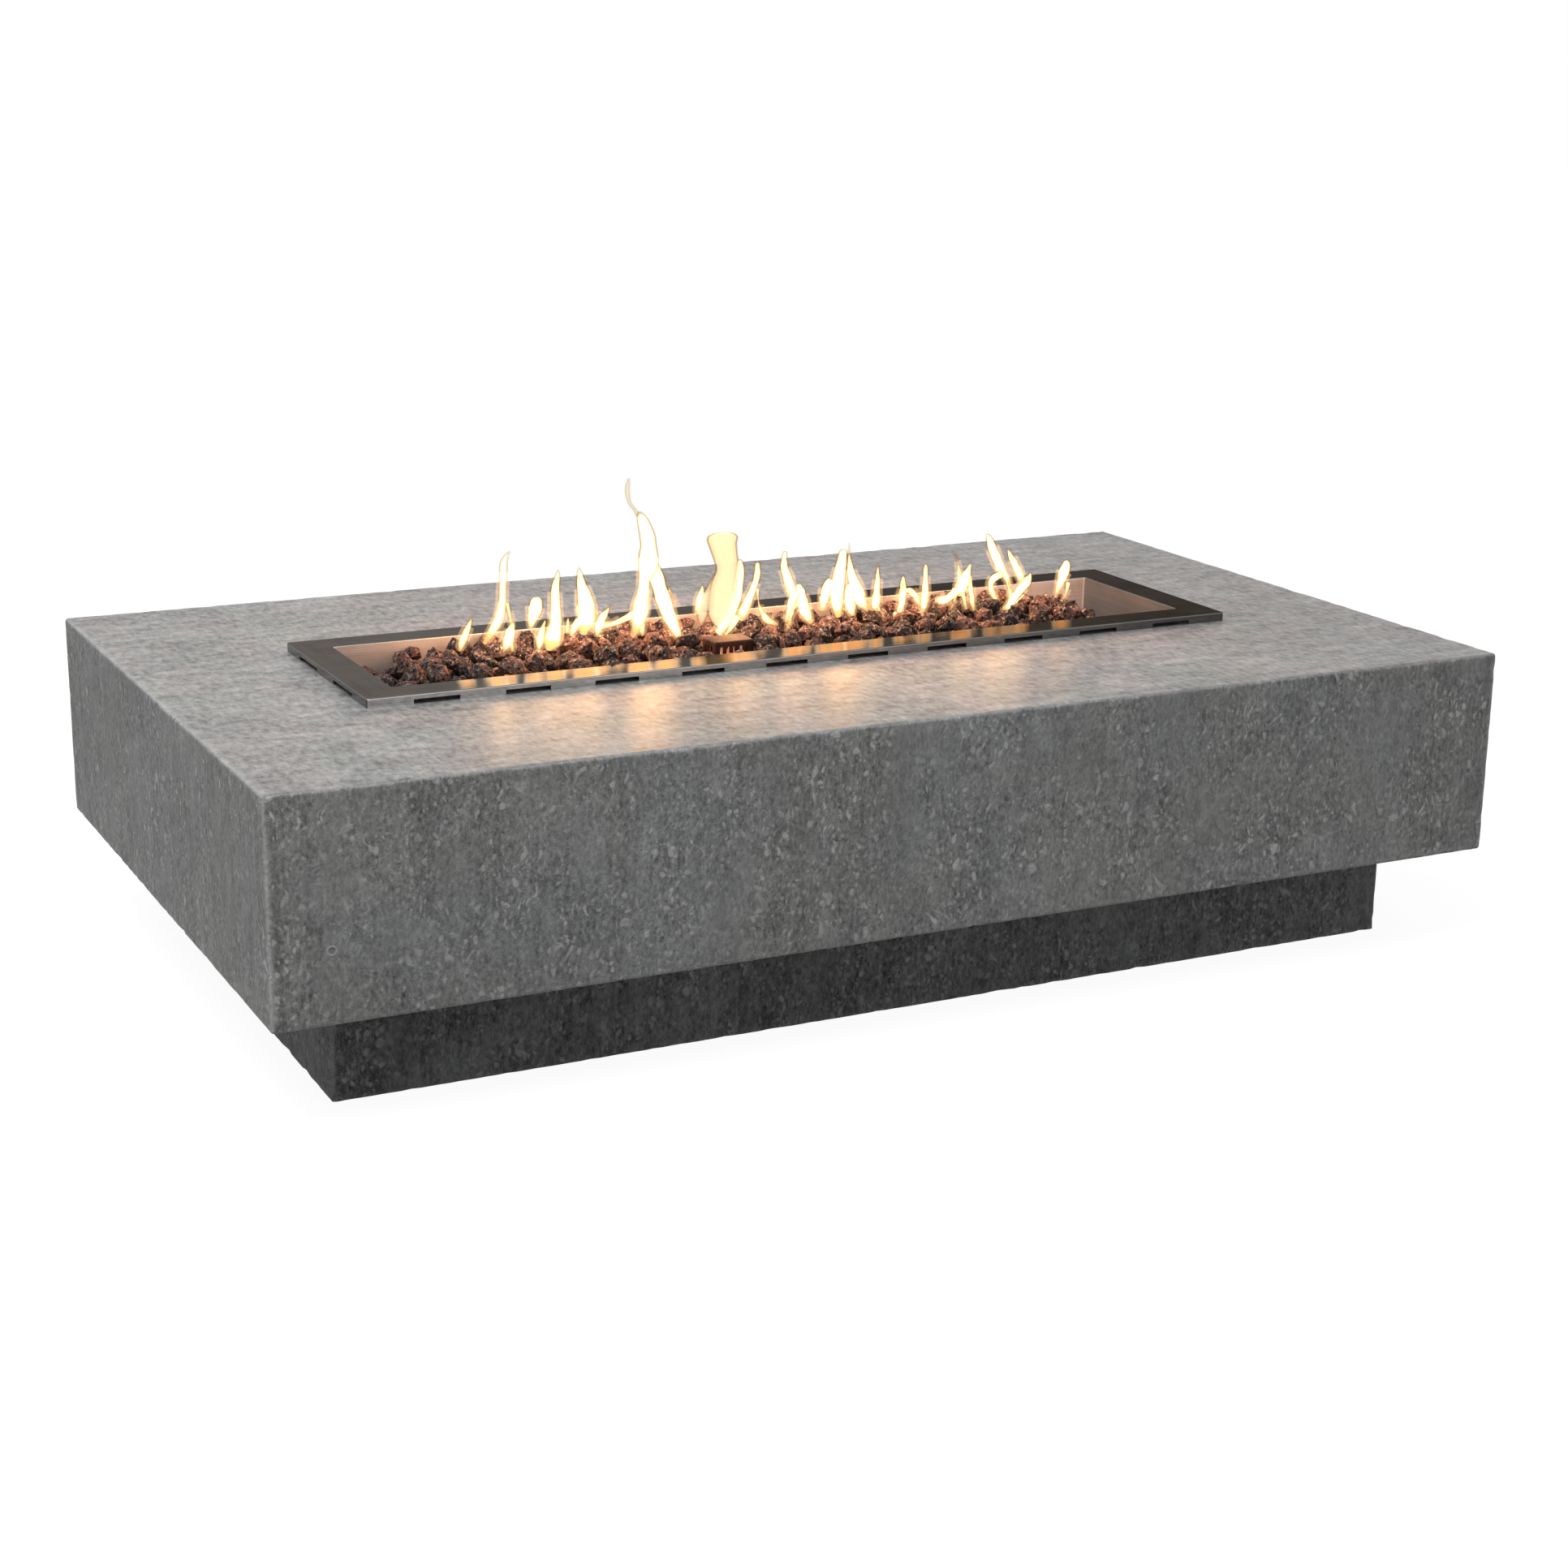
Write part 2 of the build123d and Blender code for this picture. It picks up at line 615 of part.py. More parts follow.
def flare_nut(tube_end, towards):
    """Nut over a tube's end and the flare that it meets; towards points from tube to flare."""
    nut = hexagon(FLARE_NUT_ACROSS, FLARE_NUT_LENGTH)
    on_tube = FLARE_NUT_LENGTH - FLARE_GRIP
    nut -= upright(GAS_TUBE_DIAMETER + 2 * FIT, 0, on_tube)
    nut -= upright(FLARE_DIAMETER + 2 * FIT, on_tube, FLARE_NUT_LENGTH)
    way = Vector(towards)
    return Plane(origin=Vector(tube_end) - way * on_tube, z_dir=way) * nut


def flare_nuts():
    """Flare nuts at the jet, the valve's outlet and the valve's inlet."""
    return [
        flare_nut((0, 0, jet_low), (0, 0, 1)),
        flare_nut((outlet_x, *knob_axis), (1, 0, 0)),
        flare_nut((valve_middle, KNOB_OFFSET, inlet_z), (0, 0, 1)),
    ]


def control_screw_places():
    """Places of the box's screws in the end face, at the middle of its flange's corners."""
    return [(y, control_z + z)
            for y, z in four_corners(CONTROL_WIDTH + CONTROL_FLANGE, CONTROL_HEIGHT + CONTROL_FLANGE)]


def control_box():
    """Stainless tray let into the end wall, open to the outside."""
    rim = 2 * CONTROL_FLANGE
    wall = 2 * CONTROL_SHEET
    box = end_plate(CONTROL_WIDTH + rim, CONTROL_HEIGHT + rim, control_face - CONTROL_SHEET, control_face,
                    CONTROL_CORNER)
    box += end_plate(CONTROL_WIDTH + wall, CONTROL_HEIGHT + wall, panel_rear, control_face,
                     CONTROL_CORNER)
    box -= end_plate(CONTROL_WIDTH, CONTROL_HEIGHT, panel_front, control_face, CONTROL_CORNER - CONTROL_SHEET)
    box -= level(NECK_DIAMETER + 2 * HOLE_FIT, panel_rear, panel_front, *knob_axis)
    box -= level(MODULE_NECK + 2 * HOLE_FIT, panel_rear, panel_front, *igniter_axis)
    for y, z in control_screw_places():
        box -= level(SCREW_DIAMETER + 2 * HOLE_FIT, control_face - CONTROL_SHEET, control_face, y, z)
    return box


def control_box_screws():
    """Low round-headed screws through the flange into the concrete."""
    screws = []
    for y, z in control_screw_places():
        head = level(SCREW_HEAD_DIAMETER, control_face, control_face + SCREW_HEAD_HEIGHT, y, z)
        head = fillet(head.edges().sort_by(Axis.X)[-1], SCREW_HEAD_HEIGHT / 2)
        shank_end = control_face - CONTROL_SHEET - SCREW_BITE
        screws.append(head + level(SCREW_DIAMETER, shank_end, control_face, y, z))
    return screws


def cone_bar(rear_diameter, front_diameter, x_low, x_high):
    """Round bar along X on the valve's axis, tapering to its rear end."""
    taper = Cone(rear_diameter / 2, front_diameter / 2, x_high - x_low)
    return Pos((x_low + x_high) / 2, *knob_axis) * Rot(0, 90, 0) * taper


def valve_body():
    """Brass valve body: tapered seat, outlet at the rear, inlet below, thermocouple port on top."""
    half = VALVE_SIZE / 2
    body = span_box(valve_rear, bonnet_rear, KNOB_OFFSET - half, KNOB_OFFSET + half,
                    control_z - half, control_z + half)
    body = fillet(body.edges().filter_by(Axis.X), VALVE_ROUND)
    body += level(FLARE_DIAMETER, outlet_x, valve_rear, *knob_axis)
    body += upright(FLARE_DIAMETER, inlet_z, control_z - half, valve_middle, KNOB_OFFSET)
    body += upright(THERMO_BOSS_DIAMETER, control_z + half, thermo_boss_top, valve_middle, KNOB_OFFSET)
    body -= cone_bar(PLUG_DIAMETER - PLUG_TAPER, PLUG_DIAMETER, bonnet_rear - PLUG_LENGTH, bonnet_rear)
    body -= level(PLUG_PORT, outlet_x, valve_middle, *knob_axis)
    body -= upright(PLUG_PORT, inlet_z, control_z, valve_middle, KNOB_OFFSET)
    body -= upright(THERMO_LEAD_DIAMETER + 2 * FIT, thermo_boss_top - THERMO_BOSS_LENGTH, thermo_boss_top,
                    valve_middle, KNOB_OFFSET)
    for y, z in four_corners(BONNET_SCREW_SPREAD, BONNET_SCREW_SPREAD):
        body -= level(BONNET_SCREW_DIAMETER + 2 * FIT, bonnet_rear - BONNET_SCREW_BITE - FIT, bonnet_rear,
                      KNOB_OFFSET + y, control_z + z)
    return body


def valve_bonnet():
    """Front plate of the valve with the threaded neck that passes the panel."""
    half = VALVE_SIZE / 2
    bonnet = span_box(bonnet_rear, bonnet_front, KNOB_OFFSET - half, KNOB_OFFSET + half,
                      control_z - half, control_z + half)
    bonnet = fillet(bonnet.edges().filter_by(Axis.X), VALVE_ROUND)
    bonnet += level(SHOULDER_DIAMETER, bonnet_front, panel_rear, *knob_axis)
    bonnet += level(NECK_DIAMETER, panel_rear, neck_end, *knob_axis)
    bonnet -= level(SPINDLE_DIAMETER + 2 * RUN_FIT, bonnet_rear, neck_end, *knob_axis)
    for y, z in four_corners(BONNET_SCREW_SPREAD, BONNET_SCREW_SPREAD):
        bonnet -= level(BONNET_SCREW_DIAMETER + 2 * FIT, bonnet_rear, bonnet_front,
                        KNOB_OFFSET + y, control_z + z)
    return bonnet


def bonnet_screws():
    """Screws that hold the bonnet to the valve body."""
    screws = []
    for y, z in four_corners(BONNET_SCREW_SPREAD, BONNET_SCREW_SPREAD):
        place = (KNOB_OFFSET + y, control_z + z)
        screw = level(BONNET_SCREW_DIAMETER, bonnet_rear - BONNET_SCREW_BITE, bonnet_front, *place)
        screws.append(screw + level(BONNET_SCREW_HEAD, bonnet_front, bonnet_front + BONNET_SCREW_HEAD_HEIGHT,
                                    *place))
    return screws


def valve_plug():
    """Tapered plug: a full port that meets the inlet a quarter turn on, a bleed at a half turn."""
    taper_per_mm = PLUG_TAPER / PLUG_LENGTH
    front = PLUG_DIAMETER - END_PLAY * taper_per_mm - 2 * PLUG_FIT
    rear = PLUG_DIAMETER - PLUG_TAPER + END_PLAY * taper_per_mm - 2 * PLUG_FIT
    plug = cone_bar(rear, front, plug_rear, plug_front)
    plug -= level(PLUG_PORT, plug_rear, valve_middle + PLUG_PORT / 2, *knob_axis)
    port = Pos(valve_middle, *knob_axis) * Rot(90, 0, 0)
    plug -= port * Pos(0, 0, PLUG_DIAMETER / 2) * Cylinder(PLUG_PORT / 2, PLUG_DIAMETER)
    plug -= upright(BLEED_PORT, control_z, control_z + PLUG_DIAMETER, valve_middle, KNOB_OFFSET)
    slot_end = tongue_end - KNOB_TRAVEL - END_PLAY
    half = TONGUE_WIDTH / 2 + RUN_FIT
    slot = level(SPINDLE_DIAMETER + 2 * RUN_FIT, slot_end, plug_front, *knob_axis)
    slot &= span_box(slot_end, plug_front, KNOB_OFFSET - half, KNOB_OFFSET + half,
                     control_z - SPINDLE_DIAMETER, control_z + SPINDLE_DIAMETER)
    return plug - slot


def knob_flat(x_low, x_high, extra):
    """Round bar with one flat, as the spindle's outer end and the knob's bore have."""
    bar = level(SPINDLE_DIAMETER + 2 * extra, x_low, x_high, *knob_axis)
    reach = SPINDLE_DIAMETER
    flat = control_z + SPINDLE_DIAMETER / 4 + extra
    return bar & span_box(x_low, x_high, KNOB_OFFSET - reach, KNOB_OFFSET + reach, control_z - reach, flat)


def valve_spindle():
    """Spindle: a tongue that turns the plug and slides in it, and a flatted end in the knob."""
    round_start = bonnet_rear + KNOB_TRAVEL
    flat_start = knob_rear + KNOB_CAVITY_DEPTH
    half = TONGUE_WIDTH / 2
    spindle = level(SPINDLE_DIAMETER, tongue_end, round_start, *knob_axis)
    spindle &= span_box(tongue_end, round_start, KNOB_OFFSET - half, KNOB_OFFSET + half,
                        control_z - SPINDLE_DIAMETER, control_z + SPINDLE_DIAMETER)
    spindle += level(SPINDLE_DIAMETER, round_start, flat_start, *knob_axis)
    return spindle + knob_flat(flat_start, spindle_end - END_PLAY, 0)


def valve_nut():
    """Nut that clamps bezel and panel against the bonnet's shoulder."""
    nut = facing_x(bezel_front, *knob_axis) * hexagon(PANEL_NUT_ACROSS, PANEL_NUT_HEIGHT)
    return nut - level(NECK_DIAMETER + 2 * FIT, bezel_front, bezel_front + PANEL_NUT_HEIGHT, *knob_axis)


def knob_bezel():
    """Round bezel plate behind the knob."""
    bezel = level(BEZEL_DIAMETER, panel_front, bezel_front, *knob_axis)
    bezel = fillet(bezel.edges().sort_by(Axis.X)[-1], BEZEL_THICKNESS / 2)
    return bezel - level(NECK_DIAMETER + 2 * HOLE_FIT, panel_front, bezel_front, *knob_axis)


def control_knob():
    """Knob with a skirt, a hollow back and a grip bar with a pointer groove."""
    skirt_front = knob_rear + SKIRT_THICKNESS
    profile = Polyline(
        (knob_rear, 0),
        (knob_rear, SKIRT_DIAMETER / 2),
        (skirt_front, SKIRT_DIAMETER / 2),
        (skirt_front, KNOB_DIAMETER / 2),
        (knob_front, KNOB_DIAMETER / 2 - KNOB_DRAFT),
        (knob_front, 0),
        close=True,
    )
    axis_plane = Plane(origin=(0, *knob_axis), x_dir=(1, 0, 0), z_dir=(0, -1, 0))
    knob = revolve(axis_plane * make_face(profile), Axis((0, *knob_axis), (1, 0, 0)))
    rims = knob.edges().filter_by(GeomType.CIRCLE).sort_by(Axis.X)
    knob = fillet([rims[1], rims[-1]], KNOB_ROUND)
    grip_low = knob_front - GRIP_HEIGHT
    for side in (-1, 1):
        edge = KNOB_OFFSET + side * GRIP_WIDTH / 2
        far = KNOB_OFFSET + side * SKIRT_DIAMETER
        knob -= span_box(grip_low, knob_front, min(edge, far), max(edge, far),
                         control_z - SKIRT_DIAMETER, control_z + SKIRT_DIAMETER)
    pointer_top = control_z + KNOB_DIAMETER / 2
    knob -= span_box(knob_front - POINTER_DEPTH, knob_front, KNOB_OFFSET - POINTER_WIDTH / 2,
                     KNOB_OFFSET + POINTER_WIDTH / 2, pointer_top - POINTER_LENGTH, pointer_top)
    knob -= level(KNOB_CAVITY_DIAMETER, knob_rear, knob_rear + KNOB_CAVITY_DEPTH, *knob_axis)
    return knob - knob_flat(knob_rear + KNOB_CAVITY_DEPTH, spindle_end, FIT)


def igniter_module():
    """Spark module behind the panel, bored for its battery and its button."""
    module = level(MODULE_DIAMETER, module_rear, panel_rear, *igniter_axis)
    module = fillet(module.edges().filter_by(GeomType.CIRCLE).sort_by(Axis.X)[0], MODULE_ROUND)
    module += level(MODULE_NECK, panel_rear, module_neck_end, *igniter_axis)
    module -= level(BUTTON_DIAMETER + 2 * RUN_FIT, battery_front, module_neck_end, *igniter_axis)
    module -= level(BATTERY_DIAMETER + 2 * BATTERY_FIT, battery_rear, battery_front, *igniter_axis)
    return module


def igniter_battery():
    """Round dry cell with its contact tip towards the rear."""
    cell = level(BATTERY_DIAMETER, battery_rear + BATTERY_TIP_LENGTH, battery_front, *igniter_axis)
    cell = fillet(cell.edges().filter_by(GeomType.CIRCLE), BATTERY_ROUND)
    return cell + level(BATTERY_TIP_DIAMETER, battery_rear, battery_rear + BATTERY_TIP_LENGTH, *igniter_axis)


def igniter_collar():
    """Ring nut round the module's neck, on the face of the panel."""
    collar = level(COLLAR_DIAMETER, panel_front, panel_front + COLLAR_HEIGHT, *igniter_axis)
    collar = chamfer(collar.edges().filter_by(GeomType.CIRCLE).sort_by(Axis.X)[-1], COLLAR_HEIGHT / 3)
    return collar - level(MODULE_NECK + 2 * FIT, panel_front, panel_front + COLLAR_HEIGHT, *igniter_axis)


def igniter_button():
    """Push button that slides in the module's neck."""
    button = level(BUTTON_DIAMETER, button_rear, button_front, *igniter_axis)
    return fillet(button.edges().filter_by(GeomType.CIRCLE).sort_by(Axis.X)[-1], BUTTON_DOME)


def igniter_lead():
    """Spark lead from the module, up under the pan and into the cage."""
    points = [
        (module_rear, *igniter_axis),
        (module_rear - LEAD_LEAD_IN, *igniter_axis),
        (module_rear - LEAD_LEAD_IN - LEAD_SLOPE, electrode_y, lead_z),
        (electrode_x, electrode_y, lead_z),
        (electrode_x, electrode_y, insulator_low - ELECTRODE_TAIL),
    ]
    return swept_rod(points, LEAD_BEND, IGNITER_LEAD_DIAMETER)


def thermocouple_lead():
    """Thin lead from the valve's top port, across under the pan and into the cage."""
    start_x = valve_middle - LEAD_LEAD_IN
    points = [
        (valve_middle, KNOB_OFFSET, thermo_boss_top - THERMO_BOSS_LENGTH),
        (valve_middle, KNOB_OFFSET, lead_z),
        (start_x, KNOB_OFFSET, lead_z),
        (start_x - LEAD_CROSSING, thermo_y, lead_z),
        (thermo_x, thermo_y, lead_z),
        (thermo_x, thermo_y, thermo_low),
    ]
    return swept_rod(points, LEAD_BEND, THERMO_LEAD_DIAMETER)


def lead_clips():
    """Clips under the pan floor that carry both leads."""
    clips = []
    x = pan_end - CLIP_START
    while x > CAGE_X + CAGE_LENGTH:
        clip = span_box(x - CLIP_LENGTH / 2, x + CLIP_LENGTH / 2, electrode_y - CLIP_MARGIN,
                        thermo_y + CLIP_MARGIN, lead_z - CLIP_MARGIN, pan_under)
        clip = fillet(clip.edges().filter_by(Axis.X).group_by(Axis.Z)[0], CLIP_MARGIN / 2)
        for y, diameter in ((electrode_y, IGNITER_LEAD_DIAMETER), (thermo_y, THERMO_LEAD_DIAMETER)):
            clip -= level(diameter + 2 * FIT, x - CLIP_LENGTH / 2, x + CLIP_LENGTH / 2, y, lead_z)
        clips.append(clip)
        x -= CLIP_PITCH
    return clips


def igniter_cage():
    """Folded guard over the pilot set, open below, with rows of upright slots in its four sides."""
    x_low, x_high = CAGE_X - CAGE_LENGTH / 2, CAGE_X + CAGE_LENGTH / 2
    y_low, y_high = CAGE_Y - CAGE_WIDTH / 2, CAGE_Y + CAGE_WIDTH / 2
    cage_top = pan_floor + CAGE_HEIGHT
    cage = span_box(x_low, x_high, y_low, y_high, pan_floor, cage_top)
    cage = fillet(cage.edges().filter_by(Axis.Z) + cage.edges().group_by(Axis.Z)[-1], 2 * CAGE_SHEET)
    cage -= span_box(x_low + CAGE_SHEET, x_high - CAGE_SHEET, y_low + CAGE_SHEET, y_high - CAGE_SHEET,
                     pan_floor, cage_top - CAGE_SHEET)
    columns_x = int((CAGE_LENGTH - CAGE_SLOT_PITCH) // CAGE_SLOT_PITCH)
    columns_y = int((CAGE_WIDTH - CAGE_SLOT_PITCH) // CAGE_SLOT_PITCH)
    half = CAGE_SLOT_WIDTH / 2
    slots = []
    for row in range(CAGE_SLOT_ROWS):
        z_high = cage_top - CAGE_BAND - row * CAGE_ROW_PITCH
        z_low = z_high - CAGE_SLOT_HEIGHT
        for x in centred(columns_x, CAGE_SLOT_PITCH):
            slots.append(span_box(CAGE_X + x - half, CAGE_X + x + half, y_low, y_high, z_low, z_high))
        for y in centred(columns_y, CAGE_SLOT_PITCH):
            slots.append(span_box(x_low, x_high, CAGE_Y + y - half, CAGE_Y + y + half, z_low, z_high))
    return cage - slots


def pilot_bracket():
    """Folded bracket inside the cage: foot on the pan floor, web, and a shelf for the pilot set."""
    inner = CAGE_WIDTH / 2 - CAGE_SHEET - PILOT_MARGIN
    length = CAGE_LENGTH - 2 * CAGE_SHEET - 2 * PILOT_MARGIN
    x_low, x_high = CAGE_X - length / 2, CAGE_X + length / 2
    y_low, y_high = CAGE_Y - inner, CAGE_Y + inner
    bracket = span_box(x_low, x_high, y_low, y_high, pan_floor, pan_floor + PILOT_SHEET)
    bracket += span_box(x_low, x_high, y_low, y_high, shelf_top - PILOT_SHEET, shelf_top)
    bracket += span_box(x_low, x_low + PILOT_SHEET, y_low, y_high, pan_floor, shelf_top)
    for x, y in ((electrode_x, electrode_y), (thermo_x, thermo_y)):
        bracket -= upright(LEAD_HOLE_DIAMETER, pan_floor, pan_floor + PILOT_SHEET, x, y)
    bracket -= upright(INSULATOR_DIAMETER + 2 * HOLE_FIT, shelf_top - PILOT_SHEET, shelf_top, electrode_x,
                       electrode_y)
    bracket -= upright(THERMO_DIAMETER + 2 * HOLE_FIT, shelf_top - PILOT_SHEET, shelf_top, thermo_x, thermo_y)
    return bracket


def electrode_insulator():
    """Ceramic sleeve that stands on the shelf by its collar."""
    place = (electrode_x, electrode_y)
    sleeve = upright(INSULATOR_DIAMETER, insulator_low, insulator_high, *place)
    sleeve += upright(INSULATOR_COLLAR, shelf_top, shelf_top + INSULATOR_COLLAR_HEIGHT, *place)
    return sleeve - upright(ELECTRODE_DIAMETER + 2 * FIT, insulator_low, insulator_high, *place)


def spark_electrode():
    """Bent wire through the insulator, its tip turned towards the burner tube."""
    high = insulator_high + ELECTRODE_RISE
    points = [
        (electrode_x, electrode_y, insulator_low - ELECTRODE_TAIL),
        (electrode_x, electrode_y, high),
        (electrode_x, electrode_y + ELECTRODE_REACH, high),
    ]
    return swept_rod(points, ELECTRODE_BEND, ELECTRODE_DIAMETER)


def thermocouple():
    """Flame sensor with a round tip, standing on the shelf by its collar."""
    sensor = upright(THERMO_DIAMETER, thermo_low, thermo_low + THERMO_LENGTH, thermo_x, thermo_y)
    sensor = fillet(sensor.edges().filter_by(GeomType.CIRCLE).sort_by(Axis.Z)[-1], THERMO_DIAMETER / 3)
    return sensor + upright(THERMO_COLLAR, shelf_top, shelf_top + THERMO_COLLAR_HEIGHT, thermo_x, thermo_y)


def inlet_bracket():
    """Stepped strip: foot on the block's ledge, drop inside its edge, shelf for the fitting."""
    half = INLET_BRACKET_WIDTH / 2
    y_low, y_high = KNOB_OFFSET - half, KNOB_OFFSET + half
    sheet = INLET_BRACKET_SHEET
    foot_top = block_floor_top + sheet
    bracket = span_box(ledge_x - sheet, ledge_x + INLET_BRACKET_FOOT, y_low, y_high,
                       block_floor_top, foot_top)
    bracket += span_box(ledge_x - sheet, ledge_x, y_low, y_high, shelf_low, foot_top)
    bracket += span_box(inlet_x - INLET_SHELF_MARGIN, ledge_x, y_low, y_high, shelf_low, shelf_low + sheet)
    return bracket - upright(INLET_BODY_DIAMETER + 2 * HOLE_FIT, shelf_low, shelf_low + sheet,
                             inlet_x, KNOB_OFFSET)


def inlet_fitting():
    """Bulkhead fitting with a downward male flare for the gas hose."""
    flare_low = inlet_nut_low - INLET_FLARE_LENGTH
    fitting = Pos(inlet_x, KNOB_OFFSET, inlet_hex_low) * hexagon(INLET_HEX_ACROSS, INLET_HEX_HEIGHT)
    fitting += upright(INLET_BODY_DIAMETER, inlet_nut_low, inlet_hex_low, inlet_x, KNOB_OFFSET)
    fitting += upright(INLET_FLARE_DIAMETER, flare_low, inlet_nut_low, inlet_x, KNOB_OFFSET)
    nose = Cone(INLET_NOSE_DIAMETER / 2, INLET_FLARE_DIAMETER / 2 - INLET_NOSE_STEP, INLET_NOSE_LENGTH)
    fitting += Pos(inlet_x, KNOB_OFFSET, flare_low - INLET_NOSE_LENGTH / 2) * nose
    return fitting - upright(INLET_BORE, flare_low - INLET_NOSE_LENGTH, inlet_top, inlet_x, KNOB_OFFSET)


def inlet_nut():
    """Nut that holds the fitting to its shelf."""
    nut = Pos(inlet_x, KNOB_OFFSET, inlet_nut_low) * hexagon(INLET_NUT_ACROSS, INLET_NUT_HEIGHT)
    return nut - upright(INLET_BODY_DIAMETER + 2 * FIT, inlet_nut_low, shelf_low, inlet_x, KNOB_OFFSET)


class Lump:
    """Convex body of flat triangles, with what is needed to drop one lump on another."""

    def __init__(self, corners, faces, edges):
        first, second, third = (corners[faces[:, k]] for k in range(3))
        normals = np.cross(second - first, third - first)
        inward = ((first - corners.mean(axis=0)) * normals).sum(axis=1) < 0
        normals[inward] *= -1
        self.corners = corners
        self.faces = np.where(inward[:, None], faces[:, ::-1], faces)
        self.edges = edges
        self.normals = normals / np.linalg.norm(normals, axis=1)[:, None]
        self.offsets = (self.normals * first).sum(axis=1)
        self.low = corners.min(axis=0)
        self.high = corners.max(axis=0)

    def moved(self, dx, dy, dz):
        """The same lump in another place."""
        return Lump(self.corners + np.array([dx, dy, dz]), self.faces, self.edges)

    def heights(self, plan):
        """Lowest and highest surface over each plan point; low is above high outside the outline."""
        slopes = self.normals[:, 2]
        flat = np.abs(slopes) < TINY
        rest = self.offsets - plan @ self.normals[:, :2].T
        level_at = rest / np.where(flat, 1.0, slopes)
        low = np.where(~flat & (slopes < 0), level_at, -np.inf).max(axis=1)
        high = np.where(~flat & (slopes > 0), level_at, np.inf).min(axis=1)
        beyond = (rest[:, flat] < 0).any(axis=1)
        return np.where(beyond, np.inf, low), high


def cross_2d(a, b):
    """Z part of the cross product of plan vectors."""
    return a[..., 0] * b[..., 1] - a[..., 1] * b[..., 0]


def room_under(upper, lower):
    """Vertical distance that upper can drop before it meets lower."""
    room = np.inf
    low, high = upper.heights(lower.corners[:, :2])
    inside = low <= high
    if inside.any():
        room = min(room, (low - lower.corners[:, 2])[inside].min())
    low, high = lower.heights(upper.corners[:, :2])
    inside = low <= high
    if inside.any():
        room = min(room, (upper.corners[:, 2] - high)[inside].min())
    start_a = lower.corners[lower.edges[:, 0]][:, None]
    way_a = lower.corners[lower.edges[:, 1]][:, None] - start_a
    start_b = upper.corners[upper.edges[:, 0]][None]
    way_b = upper.corners[upper.edges[:, 1]][None] - start_b
    turn = cross_2d(way_a, way_b)
    turn = np.where(np.abs(turn) < TINY, np.nan, turn)
    share_a = cross_2d(start_b - start_a, way_b) / turn
    share_b = cross_2d(start_b - start_a, way_a) / turn
    meets = (share_a >= 0) & (share_a <= 1) & (share_b >= 0) & (share_b <= 1)
    if meets.any():
        gap = (start_b + share_b[..., None] * way_b - start_a - share_a[..., None] * way_a)[..., 2]
        room = min(room, gap[meets].min())
    return room


def edges_of(faces):
    """Each edge of a body of triangles, once."""
    pairs = {tuple(sorted(pair)) for face in faces for pair in itertools.combinations(face, 2)}
    return np.array(sorted(pairs))


def icosahedron():
    """Corners and faces of a regular icosahedron with edges of length 2."""
    golden = (1 + math.sqrt(5)) / 2
    corners = []
    for a in (-1, 1):
        for b in (-golden, golden):
            corners += [(0, a, b), (a, b, 0), (b, 0, a)]
    faces = [trio for trio in itertools.combinations(range(12), 3)
             if all(math.dist(corners[i], corners[j]) < 2 + TINY for i, j in itertools.combinations(trio, 2))]
    return np.array(corners), np.array(faces)


ROCK_CORNERS, ROCK_FACES = icosahedron()
ROCK_EDGES = edges_of(ROCK_FACES)


def prism(outline, x_low, x_high):
    """Convex lump along X with the given YZ outline."""
    count = len(outline)
    corners = [(x, y, z) for x in (x_low, x_high) for y, z in outline]
    faces = [(0, i, i + 1) for i in range(1, count - 1)]
    faces += [(count, count + i, count + i + 1) for i in range(1, count - 1)]
    for i in range(count):
        j = (i + 1) % count
        faces += [(i, j, count + i), (j, count + j, count + i)]
    return Lump(np.array(corners), np.array(faces), edges_of(faces))


def bed_obstacles():
    """Lumps round the burner tube, its saddles and the cage, which the rocks lie on and beside."""
    sides = 12
    radius = (TUBE_DIAMETER / 2 + ROCK_GAP) / math.cos(math.pi / sides)
    angles = [2 * math.pi * (k + 0.5) / sides for k in range(sides)]
    ring = [(radius * math.cos(angle), tube_z + radius * math.sin(angle)) for angle in angles]
    lumps = [prism(ring, -TUBE_LENGTH / 2 - ROCK_GAP, TUBE_LENGTH / 2 + ROCK_GAP)]
    half = TUBE_DIAMETER / 2 + SADDLE_CHEEK + ROCK_GAP
    reach = SADDLE_LENGTH / 2 + ROCK_GAP
    saddle = [(-half, pan_floor), (half, pan_floor), (half, tube_z), (-half, tube_z)]
    lumps += [prism(saddle, x - reach, x + reach) for x in centred(2, SADDLE_SPREAD)]
    y_low, y_high = (CAGE_Y + side * (CAGE_WIDTH / 2 + ROCK_GAP) for side in (-1, 1))
    reach = CAGE_LENGTH / 2 + ROCK_GAP
    guard = [(y_low, pan_floor), (y_high, pan_floor), (y_high, drop_start), (y_low, drop_start)]
    lumps.append(prism(guard, CAGE_X - reach, CAGE_X + reach))
    return lumps


def random_turn(dice):
    """Rotation matrix of a random unit quaternion."""
    w, x, y, z = (dice.gauss(0, 1) for _ in range(4))
    size = w * w + x * x + y * y + z * z
    skew = np.array([[0, -z, y], [z, 0, -x], [-y, x, 0]])
    return np.eye(3) + 2 * (w * skew + skew @ skew) / size


